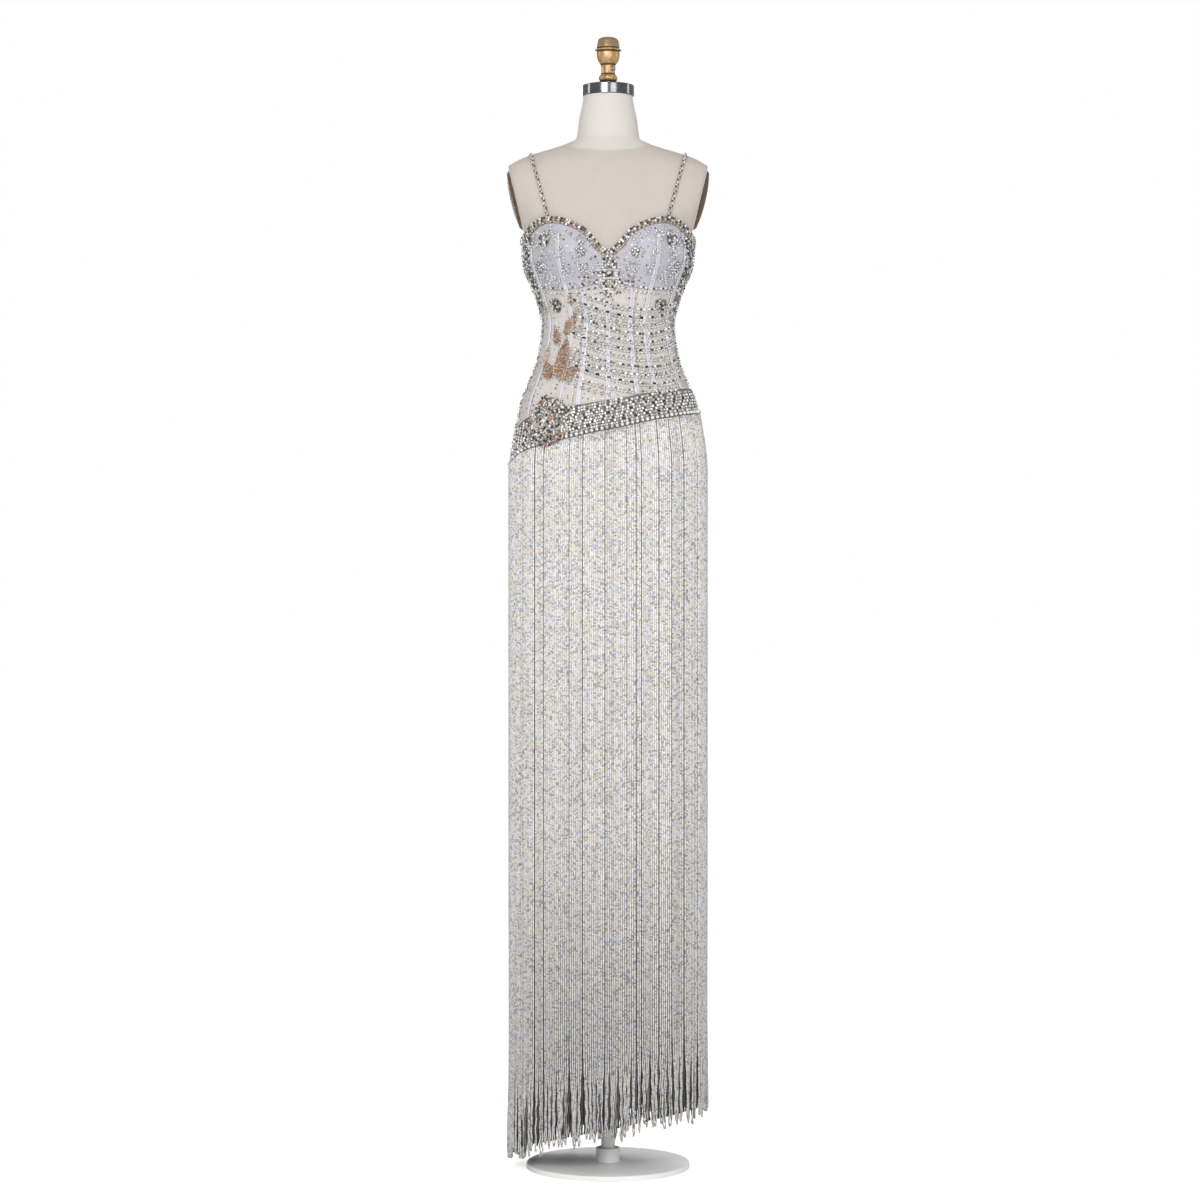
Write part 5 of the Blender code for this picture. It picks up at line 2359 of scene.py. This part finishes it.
@dataclass
class HipBand:
    """The slanting jewelled band and its oval cluster."""

    tray: StoneTray

    def build(self, hung: dict[str, list[bpy.types.Object]]) -> None:
        """Builds the band over what hangs from it.

        Args:
            hung: The pieces that hang from each half, by front and back.
        """
        brooch = Rosette(
            "hip_brooch",
            degrees=-38,
            z=1.362,
            width=0.074,
            height=0.088,
            dome=0.0045,
            stones=300,
            layer=BROOCH_LAYER,
            mix=(9, 4, 3, 5, 3, 3),
            ragged=0.10,
        )
        going = {"front": list(brooch.build(self.tray, TAPE)), "back": []}
        for name, first in HALVES:
            self.half(name, first, [*going[name], *hung[name]])

    def half(self, name: str, first: float, going: list[bpy.types.Object]) -> None:
        """One half of the band, from side seam to side seam.

        Args:
            name: The half, front or back.
            first: The angle of its first side seam.
            going: The pieces that hang from it or are sewn to it.
        """

        def place(u: float, v: float) -> Vector:
            """The point u of the way along and v of the way up."""
            angle = on_half(first, u)
            return FIGURE.on_body(angle, blend(*FIGURE.band(angle), v), BAND_LAYER.outer)

        cloth = Cloth(f"hip_band_{name}_tape", place, TAPE, "rhinestone", thick=0.0018)
        tape = cloth.build()
        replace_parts(tape, f"hip_band_{name}")
        work = Beadwork(f"hip_band_{name}_stones", self.tray, seed=41)
        self.rows(work, first)
        cloth.declare(tape, [work.build(), *going])

    def rows(self, work: Beadwork, first: float) -> None:
        """Rows of large, dark, and small stones, laid from the band's lower edge up.

        Args:
            work: The beadwork that they go into.
            first: The angle of its first side seam.
        """
        out = BAND_LAYER.outer - SUNK
        styles = (
            (0.0040, 0.0046, Unit.BRIGHT, 1.0),
            (0.0096, 0.0046, Unit.ROUND, 1.1),
            (0.0150, 0.0054, Unit.DARK, 1.2),
            (0.0202, 0.0047, Unit.ROUND, 1.1),
            (0.0252, 0.0047, Unit.ROUND, 1.1),
            (0.0304, 0.0052, Unit.DARK, 1.2),
            (0.0354, 0.0047, Unit.ROUND, 1.1),
            (0.0404, 0.0048, Unit.MIXED, 1.05),
            (0.0456, 0.0048, Unit.ROUND, 1.1),
            (0.0508, 0.0048, Unit.ROUND, 1.05),
            (0.0556, 0.0048, Unit.MIXED, 1.0),
        )
        end_gap, rim = 0.012, 0.0010
        angles = [blend(first + end_gap, first + math.pi - end_gap, k / 200) for k in range(201)]
        for up, pitch, unit, scale in styles:
            run: list[Place] = []
            for angle in angles:
                low, high = FIGURE.band(angle)
                if low + up <= high - rim:
                    run.append((angle, low + up))
                elif len(run) > 2:
                    work.row(run, pitch, out, unit, scale)
                    run = []
            if len(run) > 2:
                work.row(run, pitch, out, unit, scale)


# The skirt


class Strand(NamedTuple):
    """One bead strand: where it hangs, counted in pitches, and how its end falls."""

    at: float
    gather: float
    meet: float
    shade: float
    drop: float
    phase: float
    swell: float
    swing: float
    last_of_group: bool


class Curtain(NamedTuple):
    """One layer of strands: how far out it hangs, and its painted shade at the top and at the foot.
    """

    out: float
    shift: float
    radius: float
    foot_radius: float
    top_painted_shade: float
    foot_painted_shade: float
    shorter: float


@dataclass
class Skirt:
    """The straight slip, and the bead strands that hang over it from under the hip band."""

    length: float = 1.275
    hem_z: float = 0.205
    folds: int = 10
    fold_depth: float = 0.006
    pitch: float = 0.0039
    tape_height: float = 0.006
    tape_gap: float = 0.0003
    slip_inset: float = 0.0014
    loose_length: float = 0.22
    # Each layer's painted shade darkens it towards its foot. The third layer is a close backing,
    # painted near black at the foot as the shade inside the fringe.
    layers: tuple[Curtain, ...] = (
        Curtain(0.0074, 0.0, 0.00175, 0.00165, 1.00, 0.72, 0.0),
        Curtain(0.0056, 0.5, 0.00175, 0.00130, 0.98, 0.12, 0.010),
        Curtain(0.0038, 0.0, 0.00210, 0.00210, 0.73, 0.03, 0.014),
    )

    def build(self) -> dict[str, list[bpy.types.Object]]:
        """Builds both halves, and returns what hangs from each half of the band.

        Returns:
            The pieces, by front and back.
        """
        chance = random.Random(11)
        made: dict[str, list[bpy.types.Object]] = {}
        for name, first in HALVES:
            self.slip(name, first)
            tape = self.tape(name, first)
            made[name] = [tape, self.fringe(name, first, chance)]
        return made

    def slip(self, name: str, first: float) -> None:
        """One panel of the slip, with soft folds towards its hem.

        Args:
            name: The half, front or back.
            first: The angle of its first side seam.
        """

        def place(u: float, v: float) -> Vector:
            """The point u of the way round and v of the way up."""
            angle = on_half(first, u)
            z = blend(self.hem_z, FIGURE.band_middle(angle) - 0.001, v)
            fallen = max(0.0, (FIGURE.hip_z - z) / (FIGURE.hip_z - self.hem_z))
            fold = self.fold_depth * fallen * (1 + math.cos(self.folds * angle)) / 2
            return FIGURE.on_skirt(angle, z, NET_LAYER.outer - self.slip_inset - fold)

        cloth = Cloth(f"slip_{name}_satin", place, SLIP, "slip_satin", pitch=0.010, thick=0.0010)
        obj = cloth.build()
        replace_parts(obj, f"slip_{name}")
        cloth.declare(obj)

    def tape(self, name: str, first: float) -> bpy.types.Object:
        """The narrow tape that the strands are strung from.

        Args:
            name: The half, front or back.
            first: The angle of its first side seam.

        Returns:
            The tape.
        """

        def place(u: float, v: float) -> Vector:
            """The point u of the way along and v of the way up."""
            angle = on_half(first, u)
            high = FIGURE.band(angle)[0] - self.tape_gap
            return FIGURE.on_skirt(angle, high - self.tape_height * (1 - v), STRIP_LAYER.inner)

        cloth = Cloth(f"fringe_{name}_tape", place, TAPE, "bead_fringe", pitch=0.003, thick=0.0008)
        return cloth.build()

    def fringe(self, name: str, first: float, chance: random.Random) -> bpy.types.Object:
        """All the strands of one half, in layers, gathered in uneven groups.

        Args:
            name: The half, front or back.
            first: The angle of its first side seam.
            chance: The skirt's run of chance.

        Returns:
            The strands, as one piece.
        """
        step = 0.0005
        fine = [(first + math.pi * k / 720, FIGURE.hip_z) for k in range(721)]
        half_round = along(fine, step)
        strands = self.grouped(round(len(half_round) * step / self.pitch), chance)
        total = strands[-1].at + 1
        lines: list[list[Vector]] = []
        tones: list[tuple[float, float]] = []
        radii: list[tuple[float, float]] = []
        for layer in self.layers:
            backing = layer is self.layers[-1]
            for k, strand in enumerate(strands):
                if layer.shift and strand.last_of_group:
                    continue
                share = (strand.at + 0.5 + layer.shift) / (total + 0.5)
                if backing:
                    share = (k + 0.5) / len(strands)
                    strand = strand._replace(gather=0.0, meet=0.0, swing=0.0, drop=0.0)
                angle = half_round[min(int(share * len(half_round)), len(half_round) - 1)][0]
                lines.append(self.line(strand, angle, layer, chance))
                # A random tone for each strand, times its layer's painted shade.
                shade = strand.shade * chance.choice((0.90, 0.97, 1.0, 1.0, 1.0))
                tones.append((layer.top_painted_shade * shade, layer.foot_painted_shade * shade))
                radii.append((layer.radius, layer.foot_radius))
        obj = self.strung(f"fringe_{name}_strands", lines, tones, radii, chance)
        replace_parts(obj, f"fringe_{name}")
        return obj

    def grouped(self, count: int, chance: random.Random) -> list[Strand]:
        """Strands in groups with a narrow gap between them; neighbours are two sides of a loop.

        Args:
            count: About how many strands.
            chance: The skirt's run of chance.

        Returns:
            The strands in order.
        """
        found: list[Strand] = []
        at = 0.0
        while at < count - 2:
            size = chance.choice((2, 4, 6, 6, 8, 8, 10, 12))
            shade, drop = chance.uniform(0.93, 1.0), chance.uniform(-0.009, 0.005)
            tight = chance.uniform(0.0, 0.16)
            for k in range(size):
                if k % 2 == 0:
                    phase, swell = chance.uniform(0, math.tau), chance.uniform(0.028, 0.050)
                    swing, fall = chance.uniform(-0.003, 0.003), chance.uniform(-0.004, 0.004)
                gather = tight * ((size - 1) / 2 - k)
                rounding = 0.010 * (2 * (k // 2 * 2 + 0.5) / size - 1) ** 2
                meet = 0.42 if k % 2 == 0 else -0.42
                low, last = drop + fall + rounding, k == size - 1
                found.append(Strand(at, gather, meet, shade, low, phase, swell, swing, last))
                at += 1
            at += chance.choice((0.10, 0.15, 0.25, 0.45))
        return found

    def line(
        self, strand: Strand, angle: float, layer: Curtain, chance: random.Random
    ) -> list[Vector]:
        """One strand's line: plumb below the hip, wavy near its end, and met by its neighbour.

        Args:
            strand: The strand.
            angle: Where it hangs.
            layer: The layer that it belongs to.
            chance: The skirt's run of chance.

        Returns:
            Its points from the top down, as many for every strand.
        """
        band_low = FIGURE.band(angle)[0]
        end_z = band_low - self.length + strand.drop + layer.shorter
        normal = FIGURE.outward(angle, FIGURE.hip_z)
        normal = Vector((normal.x, normal.y, 0)).normalized()
        side = Vector((0, 0, 1)).cross(normal)
        loose_z = end_z + self.loose_length
        line = []
        for k in range(5):
            z = blend(band_low - 2 * self.tape_gap, FIGURE.hip_z, k / 4)
            line.append(FIGURE.on_skirt(angle, z, layer.out))
        plumb = line[-1]
        reach, depth = chance.uniform(0.0004, 0.0013), chance.uniform(-0.002, 0.003)
        for k in range(1, 4):
            line.append(Vector((plumb.x, plumb.y, blend(FIGURE.hip_z, loose_z, k / 3))))
        steps = 26
        for k in range(1, steps + 1):
            z = blend(loose_z, end_z, k / steps)
            loose, tip = eased(loose_z, end_z + 0.02, z), eased(end_z + 0.007, end_z, z)
            paired = eased(end_z + 0.130, end_z + 0.085, z) * (1 - tip)
            bulge = -0.62 * math.sin(math.pi * eased(end_z + 0.030, end_z, z))
            closing = strand.meet * (tip + 0.48 * paired + bulge)
            across = self.pitch * (strand.gather * loose + closing)
            across += reach * loose * math.sin(strand.phase + z * math.tau / strand.swell)
            across += strand.swing * loose**2
            point = Vector((plumb.x, plumb.y, z))
            line.append(point + side * across + normal * depth * loose**2)
        return line

    def strung(
        self,
        name: str,
        lines: list[list[Vector]],
        tones: list[tuple[float, float]],
        radii: list[tuple[float, float]],
        chance: random.Random,
    ) -> bpy.types.Object:
        """Bead strands as thin tubes on these lines, each with its own seed and tone.

        Args:
            name: The piece's name.
            lines: Each strand's points from the top down.
            tones: Each strand's random tone times its painted shade, at the top and at the foot.
            radii: Each strand's radius at the top and at the foot.
            chance: The skirt's run of chance.

        Returns:
            The strands, as one piece.
        """
        curve = bpy.data.curves.new(f"{name}_lines", "CURVE")
        curve.dimensions = "3D"
        curve.bevel_depth = 1.0
        curve.bevel_resolution = 0
        for line, (radius, foot_radius) in zip(lines, radii):
            spline = curve.splines.new("POLY")
            spline.points.add(len(line) - 1)
            spline.points.foreach_set("co", [x for point in line for x in (*point, 1.0)])
            widths = [blend(foot_radius, radius, eased(0.10, 0.55, point.z)) for point in line]
            spline.points.foreach_set("radius", widths)
        holder = bpy.data.objects.new(f"{name}_lines", curve)
        bpy.context.scene.collection.objects.link(holder)
        graph = bpy.context.evaluated_depsgraph_get()
        data = bpy.data.meshes.new_from_object(holder.evaluated_get(graph), depsgraph=graph)
        bpy.data.objects.remove(holder)
        each = len(data.vertices) // len(lines)
        seeds, levels = [], []
        for k, vert in enumerate(data.vertices):
            strand = min(k // each, len(lines) - 1)
            if k % each == 0:
                seed = round(chance.uniform(0, 900), 2)
            seeds.append(seed)
            top, foot = tones[strand]
            # Painted shade, darker towards each strand's foot.
            levels.append(blend(foot, top, eased(0.02, 0.90, vert.co.z) ** 0.8))
        for key, values in (("strand", seeds), ("tone", levels)):
            data.attributes.new(key, "FLOAT", "POINT").data.foreach_set("value", values)
        mesh = bmesh.new()
        mesh.from_mesh(data)
        bmesh.ops.holes_fill(mesh, edges=mesh.edges, sides=0)
        bmesh.ops.recalc_face_normals(mesh, faces=mesh.faces)
        mesh.to_mesh(data)
        mesh.free()
        data.shade_smooth()
        data.name = name
        return finished(name, data, BEADS, "bead_fringe")


# The studio


@dataclass
class Studio:
    """Pale floor, soft lights and a camera at the photograph's angle."""

    camera_distance: float = 5.5
    camera_x: float = -0.0147
    camera_z: float = 1.042
    frame_width: float = 2.2056
    sensor: float = 36.0

    def build(self) -> None:
        """Sets the camera, the lights and the floor."""
        bpy.context.scene.view_settings.view_transform = "Standard"
        self.camera()
        self.world()
        self.floor()
        target = Vector((0, 0, 1.35))
        for name, place, width, height, power in (
            ("key", (-1.0, -3.6, 2.7), 1.6, 1.4, 70),
            ("fill", (1.6, -3.6, 2.0), 1.6, 1.6, 42),
            ("back", (-0.6, 3.6, 2.4), 2.0, 1.6, 58),
        ):
            self.light(name, Vector(place), target, width, height, power)
        away, neck_cap = 1.9, Vector((0, 0, 1.98))
        for degrees in (-93, 100):
            turn = math.radians(degrees)
            place = Vector((away * math.sin(turn), -away * math.cos(turn), 2.30))
            self.light(f"strip_{degrees}", place, neck_cap, 0.14, 0.8, 3.0)

    def camera(self) -> None:
        """A level long-lens camera, straight in front."""
        data = bpy.data.cameras.new("photo_camera")
        data.sensor_width = self.sensor
        data.lens = self.sensor * self.camera_distance / self.frame_width
        camera = bpy.data.objects.new("photo_camera", data)
        camera.location = (self.camera_x, -self.camera_distance, self.camera_z)
        camera.rotation_euler = (math.pi / 2, 0, 0)
        bpy.context.scene.collection.objects.link(camera)
        bpy.context.scene.camera = camera

    def light(
        self, name: str, place: Vector, target: Vector, width: float, height: float, power: float
    ) -> None:
        """A soft rectangular light aimed at target.

        Args:
            name: The light's name.
            place: Where it stands.
            target: What it is aimed at.
            width: Its width.
            height: Its height.
            power: Its power in watts.
        """
        data = bpy.data.lights.new(name, "AREA")
        data.shape = "RECTANGLE"
        data.size, data.size_y = width, height
        data.energy = power
        lamp = bpy.data.objects.new(name, data)
        lamp.location = place
        lamp.rotation_euler = (target - place).to_track_quat("-Z", "Y").to_euler()
        bpy.context.scene.collection.objects.link(lamp)

    def world(self) -> None:
        """Even pale light from all round, and a white background."""
        world = bpy.data.worlds.new("studio")
        bpy.context.scene.world = world
        world.use_nodes = True
        tree = world.node_tree
        tree.nodes.clear()
        seen = add_node(tree, "ShaderNodeLightPath").outputs["Is Camera Ray"]
        strength = add_node(
            tree, "ShaderNodeMapRange", {"Value": seen, "To Min": 0.44, "To Max": 1.0}
        ).outputs["Result"]
        sky = add_node(
            tree, "ShaderNodeBackground", {"Color": (1, 1, 1, 1), "Strength": strength}
        ).outputs[0]
        add_node(tree, "ShaderNodeOutputWorld", {"Surface": sky})

    def floor(self) -> None:
        """A wide pale floor, which isn't part of the object."""
        mesh = bmesh.new()
        bmesh.ops.create_circle(mesh, cap_ends=True, segments=96, radius=40)
        data = bpy.data.meshes.new("studio_floor")
        mesh.to_mesh(data)
        mesh.free()
        material = bpy.data.materials.new("matt_white_floor")
        material.use_nodes = True
        tree = material.node_tree
        shader = tree.nodes["Principled BSDF"]
        place = add_node(tree, "ShaderNodeTexCoord").outputs["Object"]
        cloud = add_node(tree, "ShaderNodeTexNoise", {"Vector": place, "Scale": 0.6})
        ramp = add_node(
            tree,
            "ShaderNodeValToRGB",
            {"Fac": cloud.outputs["Fac"]},
            stops=((0.2, "#F4F4F4"), (0.8, "#FAFAFA")),
        )
        seen = add_node(tree, "ShaderNodeLightPath").outputs["Is Camera Ray"]
        glow = add_node(tree, "ShaderNodeMath", {0: seen, 1: 0.62}, operation="MULTIPLY")
        look = {
            "Base Color": ramp.outputs["Color"],
            "Roughness": 0.9,
            "Emission Color": (1, 1, 1, 1),
            "Emission Strength": glow.outputs[0],
        }
        feed(tree, shader, look)
        data.materials.append(material)
        floor = bpy.data.objects.new("studio_floor", data)
        bpy.context.scene.collection.objects.link(floor)


def main() -> None:
    """Builds the form, the gown and the studio."""
    logging.basicConfig(level=logging.INFO, format="%(message)s")
    Studio().build()
    DressForm().build()
    tray = StoneTray()
    Bodice(tray).build()
    hung = Skirt().build()
    HipBand(tray).build(hung)
    NeckTrim(tray).build()


if __name__ == "__main__":
    main()
